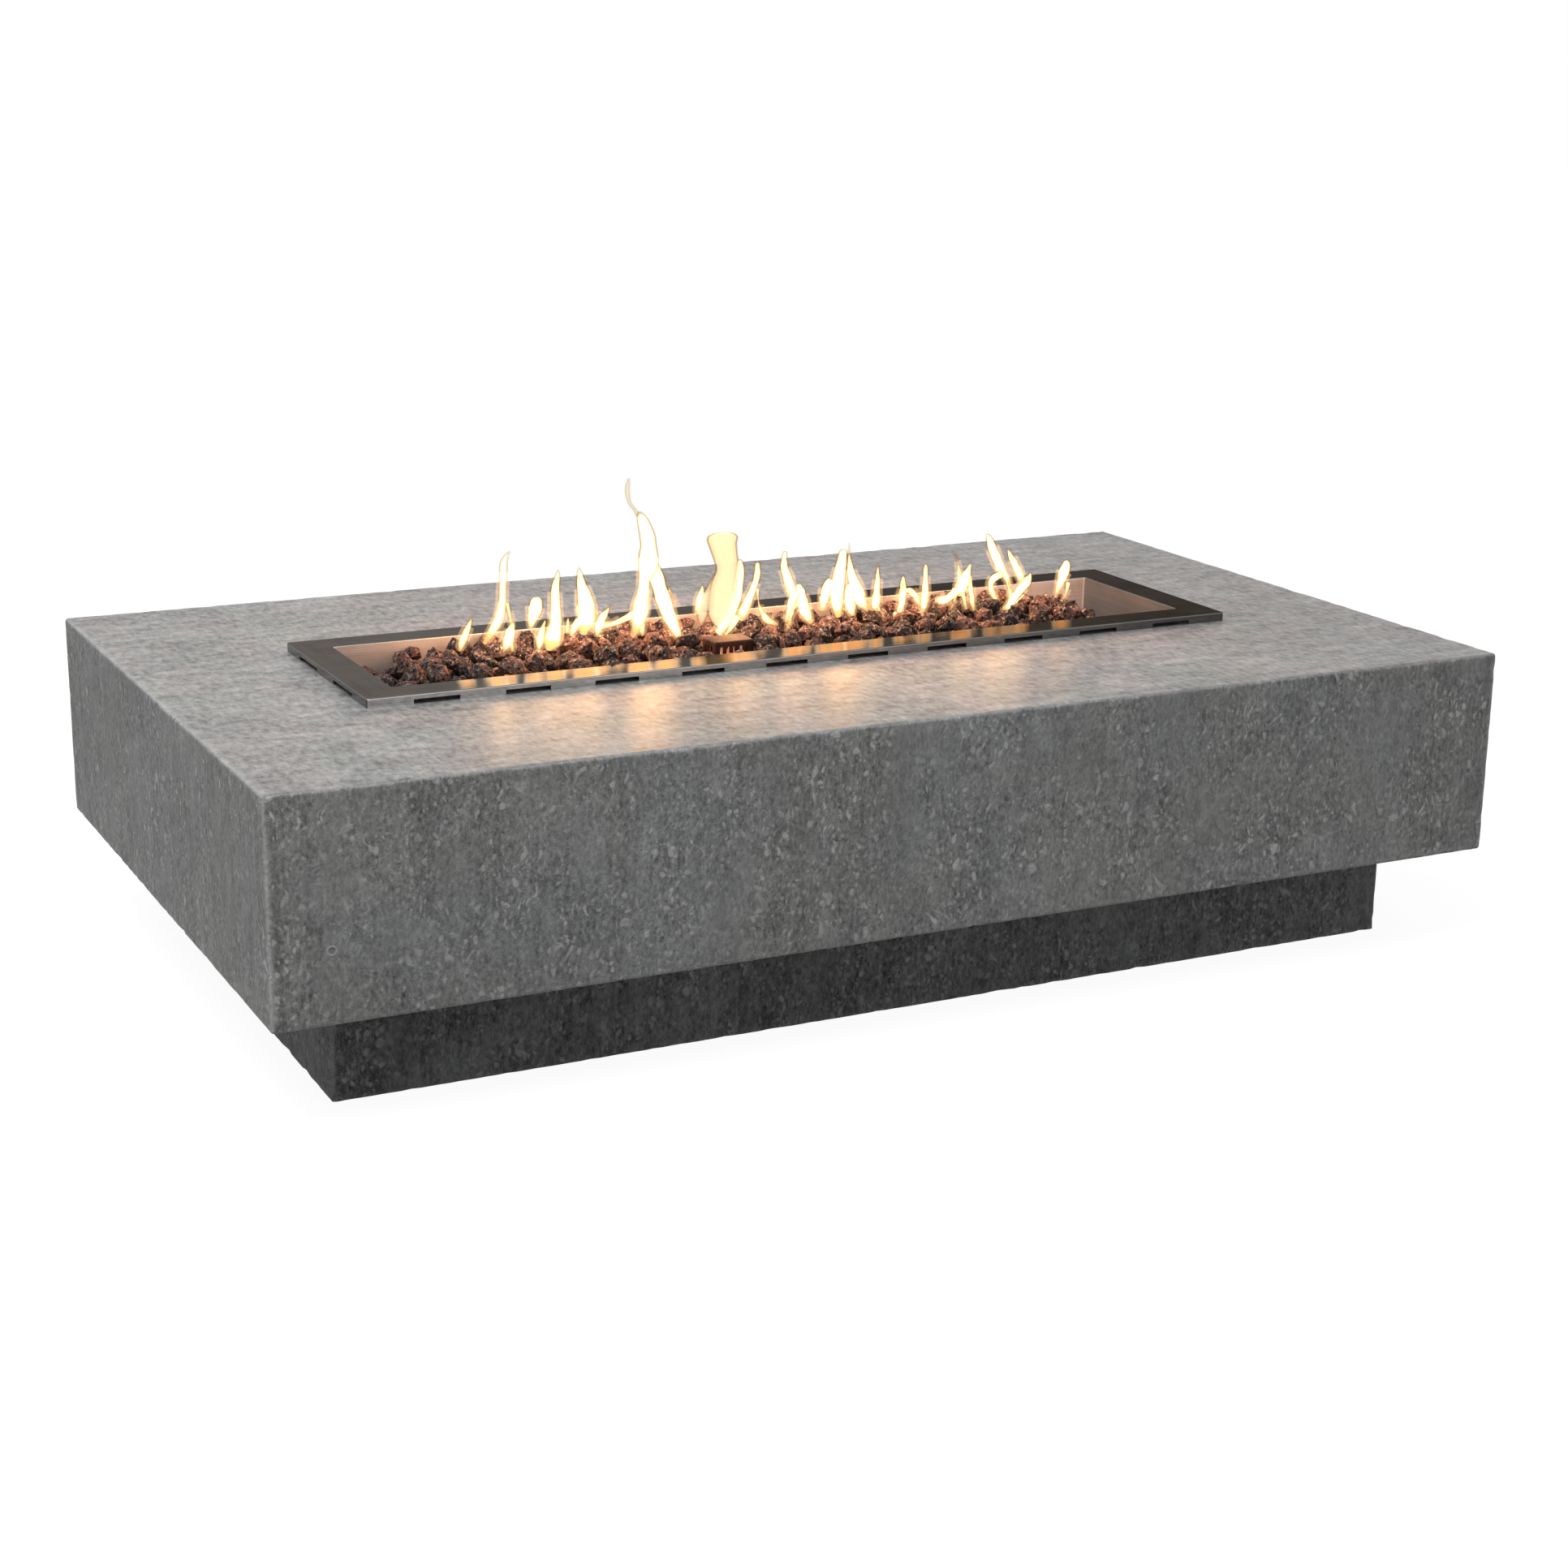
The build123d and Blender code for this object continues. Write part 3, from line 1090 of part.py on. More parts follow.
def loose_rock(dice, sizes):
    """A rock about the origin: an icosahedron with shifted corners, stretched and turned at random."""
    shifts = [[dice.uniform(-ROCK_JITTER, ROCK_JITTER) for _ in range(3)] for _ in ROCK_CORNERS]
    ball = ROCK_CORNERS + np.array(shifts)
    ball = ball / np.linalg.norm(ball, axis=1)[:, None]
    long_side = dice.uniform(*sizes)
    flat_sides = [long_side * dice.uniform(*ROCK_FLATNESS) for _ in range(2)]
    corners = (ball * np.array([long_side, *flat_sides]) / 2) @ random_turn(dice).T
    return Lump(corners, ROCK_FACES, ROCK_EDGES)


def crown_height(x, y):
    """Highest that a rock may stand: crowned along the middle, lower at the walls and both ends."""
    across = (y / (PAN_WIDTH / 2)) ** 2
    bare_start = PAN_LENGTH / 2 - BED_BARE_END
    from_bare_end = min(1.0, max(0.0, (bare_start - x) / BED_RAMP))
    from_left_end = min(1.0, max(0.0, (x + PAN_LENGTH / 2) / BED_RAMP))
    fall = BED_FALL * (across + 1 - from_bare_end) + BED_LEFT_FALL * (1 - from_left_end)
    return flange_top + BED_CROWN - fall


class Bed:
    """Rocks lying in the pan, and what they lie on."""

    def __init__(self):
        self.lumps = bed_obstacles()
        self.outline()

    def outline(self):
        """Boxes of all lumps, to find the few that a falling rock can meet."""
        self.lows = np.array([lump.low for lump in self.lumps])
        self.highs = np.array([lump.high for lump in self.lumps])

    def drop(self, rock, x, y):
        """The rock let down at a plan place until it nearly meets the bed, or None outside the pan."""
        high = rock.moved(x, y, drop_start)
        y_limit = PAN_WIDTH / 2 - ROCK_MARGIN
        if high.low[0] < -PAN_LENGTH / 2 + ROCK_MARGIN or high.high[0] > PAN_LENGTH / 2 - BED_BARE_END:
            return None
        if high.low[1] < -y_limit or high.high[1] > y_limit:
            return None
        room = high.low[2] - pan_floor
        near = (self.lows[:, :2] < high.high[:2]) & (self.highs[:, :2] > high.low[:2])
        places = np.flatnonzero(near.all(axis=1))
        for index in places[np.argsort(-self.highs[places, 2])]:
            if high.low[2] - self.highs[index, 2] > room:
                break
            room = min(room, room_under(high, self.lumps[index]))
        return high.moved(0, 0, ROCK_GAP - room)

    def settle(self, rock, dice):
        """The lowest of a few random drops, rolled downhill into the nearest hollow."""
        best = None
        for _ in range(ROCK_TRIES):
            x = dice.uniform(-PAN_LENGTH / 2, PAN_LENGTH / 2)
            y = dice.uniform(-PAN_WIDTH / 2, PAN_WIDTH / 2)
            landed = self.drop(rock, x, y)
            if landed is not None and (best is None or landed.high[2] < best[0].high[2]):
                best = (landed, x, y)
        step = ROCK_ROLL
        while best is not None and step > ROCK_GAP:
            landed, x, y = best
            for dx, dy in ((step, 0), (-step, 0), (0, step), (0, -step)):
                rolled = self.drop(rock, x + dx, y + dy)
                if rolled is not None and rolled.high[2] < best[0].high[2] - TINY:
                    best = (rolled, x + dx, y + dy)
            if best[0] is landed:
                step /= 2
        return best

    def fill(self, sizes, ceiling, dice):
        """Add rocks until several in a row stand above the ceiling."""
        added = []
        misses = 0
        while misses < ROCK_MISSES:
            settled = self.settle(loose_rock(dice, sizes), dice)
            if settled is None or settled[0].high[2] > ceiling(*settled[1:]):
                misses += 1
                continue
            misses = 0
            added.append(settled[0])
            self.lumps.append(settled[0])
            self.outline()
        return added


def rock_solid(rock):
    """Closed solid of a rock's flat faces."""
    return Solid(Shell([Face(Wire.make_polygon(rock.corners[face].tolist())) for face in rock.faces]))


def lava_rock():
    """Two layers of lava rock: large lumps on the pan floor, smaller ones heaped over them."""
    dice = random.Random(ROCK_SEED)
    bed = Bed()
    lower = bed.fill(LARGE_ROCK, lambda x, y: pan_floor + LOWER_BED, dice)
    upper = bed.fill(SMALL_ROCK, crown_height, dice)
    return [[rock_solid(rock) for rock in layer] for layer in (lower, upper)]


def as_shape(made):
    """One shape of a piece, or of the separate solids of a group."""
    return Compound(children=list(made)) if isinstance(made, list) else made


PIECES = [
    table_body, plinth, joining_brackets, bracket_bolts,
    burner_pan, burner_tube, burner_saddles, feed_nipple, pan_locknut, air_mixer, gas_orifice,
    gas_tube, flare_nuts, control_box, control_box_screws,
    valve_body, valve_bonnet, bonnet_screws, valve_plug, valve_spindle, valve_nut, knob_bezel, control_knob,
    igniter_module, igniter_battery, igniter_collar, igniter_button, igniter_lead,
    igniter_cage, pilot_bracket, electrode_insulator, spark_electrode, thermocouple, thermocouple_lead,
    lead_clips, inlet_tube, inlet_bracket, inlet_fitting, inlet_nut,
]

os.makedirs("parts", exist_ok=True)
for piece in PIECES:
    export_step(as_shape(piece()), f"parts/{piece.__name__}.step")
lower_rocks, upper_rocks = lava_rock()
export_step(as_shape(lower_rocks), "parts/lava_rock_lower.step")
export_step(as_shape(upper_rocks), "parts/lava_rock_upper.step")
print("rocks:", len(lower_rocks), "lower,", len(upper_rocks), "upper")
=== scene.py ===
"""Dresses a concrete gas fire pit: cast concrete, brushed steel, lava rock, controls, flames and stage."""

import json
import math
import random
from functools import partial

import bmesh
import bpy
from bpy.props import FloatProperty, FloatVectorProperty, IntProperty, PointerProperty
from mathutils import Matrix, Vector, noise

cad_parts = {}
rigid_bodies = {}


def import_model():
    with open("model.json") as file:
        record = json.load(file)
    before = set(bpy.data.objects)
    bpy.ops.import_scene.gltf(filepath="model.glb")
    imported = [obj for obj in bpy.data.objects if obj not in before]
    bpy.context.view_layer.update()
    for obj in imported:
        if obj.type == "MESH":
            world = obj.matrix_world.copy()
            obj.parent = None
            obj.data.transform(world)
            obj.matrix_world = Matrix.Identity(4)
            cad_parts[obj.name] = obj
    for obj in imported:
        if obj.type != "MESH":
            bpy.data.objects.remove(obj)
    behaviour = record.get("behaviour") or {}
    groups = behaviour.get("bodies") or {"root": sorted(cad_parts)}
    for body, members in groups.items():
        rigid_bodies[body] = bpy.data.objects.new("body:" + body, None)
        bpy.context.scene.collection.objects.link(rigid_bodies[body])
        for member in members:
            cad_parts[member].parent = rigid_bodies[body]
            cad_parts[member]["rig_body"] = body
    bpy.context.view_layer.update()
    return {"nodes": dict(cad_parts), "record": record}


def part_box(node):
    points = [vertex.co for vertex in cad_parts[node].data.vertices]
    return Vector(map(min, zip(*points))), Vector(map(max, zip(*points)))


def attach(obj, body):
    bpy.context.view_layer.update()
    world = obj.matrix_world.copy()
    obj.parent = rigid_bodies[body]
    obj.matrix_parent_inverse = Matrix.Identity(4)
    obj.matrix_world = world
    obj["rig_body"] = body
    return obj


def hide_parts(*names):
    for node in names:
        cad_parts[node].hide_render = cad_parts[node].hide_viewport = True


bl_info = {
    "name": "Concrete Gas Fire Pit",
    "version": (1, 0, 0),
    "blender": (4, 5, 0),
    "location": "3D View > Sidebar > Fire Pit",
    "description": "Gives a packed fire pit model its finishes, lava rock, flames and stage",
    "category": "Object",
}

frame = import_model()
SLOT_OF = {row["node"]: row["material_slot"] for row in frame["record"]["subparts"]}
MERGE = 1e-6
MILLIMETRES = 1000.0
WHITE = (1.0, 1.0, 1.0)

# Concrete: faces that count as one plane, where wear chips an edge, and the pale line along an edge, partly
# wear and partly a painted highlight.
FLAT = math.radians(0.2)
CHIP_CYCLES = 55.0
FINE_CHIP_CYCLES = 230.0
FINE_CHIPS = 0.25
WEAR_AND_HIGHLIGHT_CHIPS = 0.25
WEAR_AND_HIGHLIGHT_FALLOFF = 2.5
WEAR_AND_HIGHLIGHT_GAIN = 2.4
BEND_CYCLES = 45.0

# Burner: skin that counts as the flange's top, depth of its lip, and parts that the fire browns.
FLANGE_SKIN = 0.0006
LIP_DEPTH = 0.006
BURNT_NODES = ("burner_tube", "burner_saddles", "pilot_bracket")

# Rock: how far the middle of the lumps lies below a facet, as a share of their height.
LUMP_SINK = 0.15

# Controls: the knob's line, and the roughness, cycles and depth of the knob's texture.
POINTER_HALF = 0.0010
POINTER_START = 0.006
KNOB_SKIN = (0.46, 1500.0, 0.00012)

# Stage: the photo's width, the camera's own sizes, and the ground inside the plinth.
PHOTO_PIXELS = 1932
SENSOR_WIDTH = 36.0
CLIP_END = 100.0
GROUND_INSET = 0.006
GROUND_LIFT = 0.0003
GROUND_SHADE = 0.5

# Flames: rings and sides of each, how its width wavers and its place changes, its least half width, and the
# lamps in them.
FLAME_RINGS = 32
FLAME_SIDES = 14
FLICKER = 0.15
FLICKER_RINGS = 5.0
FLICKER_SIDES = 0.8
SCATTER_TURN = 2.3
THINNEST = 0.0002
GLOW_LAMPS = 7
GLOW_RADIUS = 0.035
SOOT = (0.50, 0.32, 0.04)
# Each gas: the colour that it lets through, its density, the colour that it gives out, and how strongly.
GASES = {
    "core": ((0.20, 0.10, 0.02), 110.0, (1.0, 0.53, 0.24), 1700.0),
    "pilot": (SOOT, 70.0, (1.0, 0.36, 0.20), 120.0),
    "thin": ((0.30, 0.25, 0.10), 30.0, (1.0, 1.0, 0.86), 170.0),
    "foot": (SOOT, 70.0, (1.0, 0.52, 0.20), 320.0),
    "halo": (WHITE, 0.0, (1.0, 0.58, 0.28), 55.0),
    "veil": (SOOT, 190.0, (1.0, 0.62, 0.25), 26.0),
    "sweep": (WHITE, 0.0, (1.0, 0.70, 0.39), 600.0),
}

# Flames, each from its foot to its tip: how far along the burner, how high and how wide, in millimetres.
FLAMES = (
    ((-374, 355, 2), (-371, 365, 8), (-366, 376, 9), (-361, 387, 5), (-358, 394, 1)),
    ((-346, 360, 3), (-337, 373, 9), (-328, 387, 11), (-324, 404, 10), (-323, 421, 9), (-322, 437, 9),
     (-321, 449, 8), (-317, 457, 4), (-313, 461, 1)),
    ((-315, 376, 2), (-318, 391, 5), (-321, 406, 6)),
    ((-324, 350, 2), (-319, 360, 11), (-316, 369, 13), (-313, 378, 8), (-311, 383, 2)),
    ((-313, 349, 2), (-314, 358, 6), (-315, 367, 7)),
    ((-292, 371, 2), (-290, 382, 10), (-287, 391, 16), (-285, 401, 16), (-285, 408, 8)),
    ((-274, 348, 5), (-269, 362, 19), (-265, 377, 14), (-265, 392, 13), (-265, 406, 12), (-264, 421, 10),
     (-262, 430, 6), (-261, 439, 1)),
    ((-285, 348, 2), (-283, 362, 10), (-280, 374, 7), (-275, 386, 2)),
    ((-262, 350, 2), (-260, 362, 9), (-261, 374, 9)),
    ((-233, 362, 6), (-229, 378, 19), (-229, 392, 21), (-231, 406, 17), (-234, 418, 12), (-236, 430, 7),
     (-237, 439, 1)),
    ((-250, 364, 3), (-249, 374, 6), (-248, 388, 1)),
    ((-246, 361, 2), (-242, 370, 10), (-235, 379, 12)),
    ((-213, 357, 2), (-213, 367, 9), (-208, 378, 11), (-202, 386, 6), (-197, 393, 1)),
    ((-217, 359, 1), (-209, 369, 6), (-195, 371, 7), (-181, 376, 9), (-169, 381, 10)),
    ((-173, 353, 1), (-169, 363, 9), (-165, 377, 18), (-163, 390, 19), (-160, 404, 15), (-159, 417, 14),
     (-155, 431, 23), (-154, 443, 24), (-154, 456, 18), (-156, 468, 18), (-161, 484, 13), (-167, 496, 3)),
    ((-158, 353, 2), (-159, 363, 8), (-160, 375, 10)),
    ((-111, 344, 2), (-116, 352, 9), (-122, 365, 14), (-128, 377, 17), (-133, 392, 19), (-138, 405, 18),
     (-143, 421, 18), (-148, 433, 15)),
    ((-116, 383, 1), (-123, 394, 3), (-129, 407, 4)),
    ((-80, 354, 3), (-71, 351, 7), (-63, 357, 12), (-55, 369, 13), (-50, 381, 14), (-45, 394, 13),
     (-43, 408, 12), (-42, 423, 10), (-43, 433, 5)),
    ((-66, 343, 2), (-59, 347, 4), (-50, 358, 9), (-44, 368, 10)),
    ((-92, 372, 5), (-89, 387, 9), (-86, 398, 7), (-85, 408, 1)),
    ((-42, 362, 7), (-37, 372, 11), (-30, 386, 11), (-23, 401, 9), (-20, 415, 9), (-20, 428, 6)),
    ((8, 352, 2), (-6, 359, 8), (-14, 370, 6), (-18, 383, 4), (-19, 398, 6)),
    ((30, 371, 10), (27, 384, 11), (22, 397, 12), (19, 407, 12), (15, 418, 10), (15, 428, 8), (17, 437, 4)),
    ((16, 354, 2), (20, 366, 7), (24, 379, 11), (30, 389, 11)),
    ((20, 341, 1), (25, 354, 4), (28, 366, 7), (32, 379, 13)),
    ((53, 349, 4), (45, 362, 13), (40, 375, 15), (36, 388, 14), (35, 397, 6)),
    ((62, 364, 4), (65, 378, 12), (68, 390, 13), (74, 400, 10)),
    ((84, 354, 5), (82, 368, 13), (81, 385, 18), (83, 400, 17), (86, 415, 14), (88, 427, 12), (90, 434, 7)),
    ((126, 357, 2), (121, 364, 9), (115, 372, 15), (111, 383, 16), (106, 394, 14), (102, 406, 11),
     (100, 419, 6), (100, 429, 3), (99, 441, 1)),
    ((107, 353, 4), (103, 365, 13), (101, 378, 13), (102, 391, 10)),
    ((130, 356, 3), (133, 366, 11), (134, 378, 10), (135, 393, 8), (135, 405, 5), (135, 415, 1)),
    ((146, 348, 1), (141, 356, 4), (137, 365, 6)),
    ((159, 336, 1), (165, 347, 4), (170, 359, 9), (172, 372, 11), (172, 385, 9), (172, 396, 3)),
    ((158, 367, 1), (164, 378, 4), (169, 388, 4)),
    ((195, 356, 2), (190, 367, 8), (183, 375, 9), (176, 378, 7)),
    ((197, 348, 3), (200, 359, 9), (201, 375, 10), (201, 390, 8), (201, 401, 7), (201, 407, 4)),
    ((212, 365, 4), (222, 363, 11), (232, 366, 11), (241, 375, 13)),
    ((243, 366, 8), (247, 376, 16), (252, 386, 15), (257, 397, 8), (261, 407, 1)),
    ((245, 379, 8), (243, 392, 6), (241, 403, 4), (238, 413, 3), (231, 422, 1)),
    ((235, 348, 1), (239, 359, 4), (243, 370, 8)),
    ((257, 348, 2), (254, 360, 6), (250, 372, 8)),
    ((268, 345, 2), (265, 359, 7), (262, 375, 8), (259, 389, 8)),
    ((318, 369, 2), (311, 382, 8), (302, 395, 12), (295, 409, 13), (289, 422, 12), (285, 432, 7),
     (282, 437, 1)),
    ((297, 354, 2), (291, 363, 6), (286, 373, 8), (288, 382, 10), (295, 386, 10), (303, 388, 8)),
    ((330, 375, 7), (325, 387, 10), (318, 399, 10), (311, 411, 7), (306, 420, 1)),
    ((307, 346, 2), (314, 346, 8), (321, 351, 13), (325, 359, 12), (332, 367, 13), (340, 375, 13),
     (344, 382, 6), (344, 386, 2)),
    ((320, 354, 7), (317, 365, 5), (312, 377, 4), (307, 388, 1)),
    ((380, 352, 2), (383, 360, 5), (387, 370, 11), (391, 381, 15), (394, 390, 13), (392, 396, 6)),
    ((387, 350, 2), (392, 359, 5), (394, 371, 8)),
)
THIN_FLAMES = (
    ((-163, 488, 5), (-167, 495, 4), (-173, 503, 4), (-176, 513, 5), (-176, 522, 5), (-174, 532, 2)),
    ((-66, 355, 10), (-66, 370, 28), (-64, 384, 33), (-62, 399, 32), (-59, 413, 29), (-58, 426, 28),
     (-60, 438, 30), (-63, 448, 34), (-64, 456, 36), (-64, 461, 31), (-64, 464, 16)),
    ((-87, 360, 5), (-85, 374, 15), (-82, 386, 15), (-75, 400, 11), (-69, 415, 5)),
)
PILOT_FLAMES = tuple(((along, 306, 3), (along, 328, 12), (along, 350, 3)) for along in (-88, -78, -68, -58))


def real(name, description, default, **kind):
    """A property that holds one number."""
    return FloatProperty(name=name, description=description, default=default, **kind)


def triple(name, description, default, **kind):
    """A property that holds three numbers."""
    return FloatVectorProperty(name=name, description=description, default=default, size=3, **kind)


def angle(name, description, degrees):
    """A property that holds an angle."""
    return real(name, description, math.radians(degrees), subtype="ANGLE")


def colour(name, what, default):
    """A property that holds the linear colour of something."""
    return triple(name, "Colour of " + what, default, subtype="COLOR", min=0.0, max=1.0)


length = partial(real, unit="LENGTH", precision=4)
power = partial(real, unit="POWER")
share = partial(real, subtype="FACTOR", min=0.0, max=1.0)
position = partial(triple, subtype="TRANSLATION")


class ConcreteSettings(bpy.types.PropertyGroup):
    """Sizes and colours of the cast concrete."""

    # The sides' colour is lighter than the top's: painted light on the sides.
    side_colour: colour("Sides", "the block's cast sides", (0.408, 0.409, 0.407))
    top_colour: colour("Top", "the block's trowelled and sealed top", (0.330, 0.327, 0.322))
    # The plinth's colour is darker than the block's: painted shade under the block's overhang.
    shaded_plinth_colour: colour("Plinth", "the plinth", (0.200, 0.200, 0.202))
    fleck_colour: colour("Flecks", "the light flecks on the block's sides", (0.940, 0.940, 0.930))
    plinth_fleck_colour: colour("Plinth Flecks", "the light flecks on the plinth", (0.620, 0.620, 0.620))
    plinth_contrast: real("Plinth Contrast", "Strength of the plinth's grain beside the block's", 1.8)
    crease: angle("Crease", "Angle past which an edge of the concrete looks sharp", 35.0)
    cell: length("Cell", "Distance between the cuts that give worn edges their corners", 0.010)
    wear_reach: length("Wear Reach", "How far from an edge the wear goes", 0.012)
    wear_depth: length("Wear Depth", "How deep an edge is worn at most", 0.0012)
    # The pale lines along the edges are partly wear and partly a painted highlight.
    wear_and_highlight_upright: share("Pale Upright", "How pale wear has made the upright edges", 1.0)
    wear_and_highlight_ends: share("Pale Ends", "How pale wear has made the level edges of the ends", 0.75)
    wear_and_highlight_front: share("Pale Front", "How pale wear has made the level edges of the front and back", 0.5)
    wear_and_highlight_width: length("Pale Width", "Width of the pale line that wear leaves along an edge", 0.008)


class BurnerSettings(bpy.types.PropertyGroup):
    """Colours of the steel that the fire heats."""

    # The flange's dark colour, its dimmed gloss and its fade to the right are painted shade.
    flange_shade_colour: colour("Flange", "the flange's darkened top", (0.252, 0.238, 0.226))
    lip_colour: colour("Lip", "the flange's folded lip on the long sides", (0.610, 0.607, 0.602))
    # The lip's dark ends and dark right-hand part are painted shade.
    lip_end_shade_colour: colour("Lip Ends", "the flange's folded lip at the ends", (0.140, 0.140, 0.138))
    wall_colour: colour("Walls", "the tray's long walls and floor", (0.760, 0.725, 0.690))
    # The tray's ends are darker and bluer than its walls: painted shade, tinted against the orange lamp
    # light.
    end_shade_colour: colour("Ends", "the tray's shade-darkened ends", (0.135, 0.152, 0.170))
    edge_tint: colour("Edge Tint", "the darkened steel's gloss at a flat angle", (0.336, 0.322, 0.312))
    straw_colour: colour("Straw", "the steel where heat has tinted it", (0.170, 0.125, 0.080))
    ceramic_colour: colour("Ceramic", "the spark electrode's insulator", (0.700, 0.660, 0.580))
    burnt_colour: colour("Burnt", "the cage and the burner tube", (0.062, 0.024, 0.016))
    fade: share("Fade", "Share of the flange's brightness that is left at its right-hand end", 0.67)
    polish: share("Roughness", "Roughness of the brushed steel", 0.08)
    scaling: share("Scaling", "How much rougher the fire has made the tray's walls", 0.28)


class RockSettings(bpy.types.PropertyGroup):
    """Sizes and colours of the lava rock."""

    black_colour: colour("Black", "the darkest rocks", (0.022, 0.020, 0.020))
    red_colour: colour("Red", "the reddest rocks", (0.132, 0.072, 0.058))
    # The rocks' light high spots are partly ash and partly a painted highlight.
    ash_and_highlight_colour: colour("Ash", "the rocks' ashy high spots", (0.620, 0.510, 0.460))
    lump_size: length("Lump Size", "Size of the lumps on a rock", 0.011)
    lump_depth: length("Lump Depth", "Height of the lumps on a rock", 0.0040)
    crease: angle("Crease", "Angle past which an edge of a rock looks broken", 38.0)
    seed: IntProperty(name="Seed", description="Start of the random draws that tint the rocks", default=11)


class FittingSettings(bpy.types.PropertyGroup):
    """Colours of the controls, the gas line and the fixings."""

    panel_colour: colour("Panel", "the brushed control box", (0.420, 0.410, 0.395))
    knob_colour: colour("Knob", "the knob and the igniter's housing", (0.018, 0.018, 0.019))
    pointer_colour: colour("Pointer", "the line on the knob", (0.780, 0.780, 0.770))
    button_colour: colour("Button", "the spark button", (0.055, 0.055, 0.058))
    brass_colour: colour("Brass", "the turned fittings", (0.560, 0.370, 0.130))
    tube_colour: colour("Tube", "the drawn gas tube", (0.600, 0.605, 0.610))
    zinc_colour: colour("Zinc", "plated brackets and bolts", (0.480, 0.485, 0.495))
    copper_colour: colour("Copper", "the thermocouple's lead", (0.560, 0.240, 0.120))
    sleeve_colour: colour("Sleeve", "the igniter lead's sleeve", (0.030, 0.028, 0.027))
    wrap_colour: colour("Wrap", "the battery's plain wrap", (0.060, 0.070, 0.085))


class FlameSettings(bpy.types.PropertyGroup):
    """Sizes and colours of the burning gas."""

    scatter: length("Scatter", "How far the flames start from the burner's middle line", 0.004)
    pilot_ahead: length("Pilot", "How far the pilot flames stand in front of the burner", 0.039)
    glow_height: length("Glow Height", "Height of the lamps that give the flames' light", 0.411)
    glow_start: length("Glow Start", "Where along the burner the first of the flames' lamps hangs", -0.330)
    glow_end: length("Glow End", "Where along the burner the last of the flames' lamps hangs", 0.360)
    veil: length("Veil", "How far the thin outer gas reaches past a flame", 0.0010)
    halo: length("Halo", "How far the faint gas round a flame's lower part reaches past it", 0.0035)
    sweep: length("Sweep", "How far a flickering flame's mirror image in steel reaches past it", 0.0060)
    foot: length("Foot", "How far the dim gas at a flame's foot reaches past it", 0.0004)
    inset: length("Inset", "How far inside a flame its white core starts", 0.0010)
    skin: length("Skin", "Size of the mesh that joins the flames", 0.0010)
    flatness: share("Flatness", "Depth of a flame as a share of its width", 0.6)
    glow_colour: colour("Glow", "the light that the flames give", (1.0, 0.46, 0.22))
    glow_power: power("Glow Power", "Power of each of the flames' lamps", 0.76)


class StageSettings(bpy.types.PropertyGroup):
    """Camera, light and floor."""

    azimuth: angle("Azimuth", "The camera's bearing", -26.689)
    elevation: angle("Elevation", "The camera's angle above the level", 15.883)
    roll: angle("Roll", "The camera's tilt about its own line", -0.761)
    eye: position("Eye", "The camera's place", (-1.3441, -2.7109, 1.0252))
    focal_pixels: real("Focal Length", "The camera's focal length in the photo's pixels", 3351.357,
                       subtype="PIXEL")
    floor_size: length("Floor", "Half the floor's width", 9.0)
    floor_colour: colour("Floor Colour", "the light that the floor gives back", (0.300, 0.300, 0.300))
    floor_white: share("Floor White", "How much of the floor's white shows in its shadows", 0.92)
    room_light: real("Room Light", "Strength of the even light from all round", 0.30)
    lamp_power: power("Lamp Power", "Power of the soft lamp overhead", 38.0)
    lamp_size: length("Lamp Size", "Width of the soft lamp overhead", 2.4)
    lamp_place: position("Lamp Place", "Where the soft lamp hangs", (-1.20, -0.50, 2.7))


class Recipe:
    """The nodes of a material or a world under way, with short calls that add and link them."""

    def __init__(self, owner):
        owner.use_nodes = True
        self.nodes = owner.node_tree.nodes
        self.links = owner.node_tree.links

    def feed(self, socket, value):
        """Links a socket to another node's output, or sets it."""
        if isinstance(value, bpy.types.NodeSocket):
            self.links.new(value, socket)
        else:
            socket.default_value = value

    def add(self, kind, inputs, **settings):
        """Adds a node with its settings and its inputs, which go by name or number."""
        made = self.nodes.new("ShaderNode" + kind)
        for key, value in settings.items():
            setattr(made, key, value)
        for key, value in inputs.items():
            self.feed(made.inputs[key], value)
        return made

    def show(self, output, channel, shader):
        """Puts a shader in a channel of the output, in place of what was there."""
        self.feed(self.nodes[output].inputs[channel], shader.outputs[0])


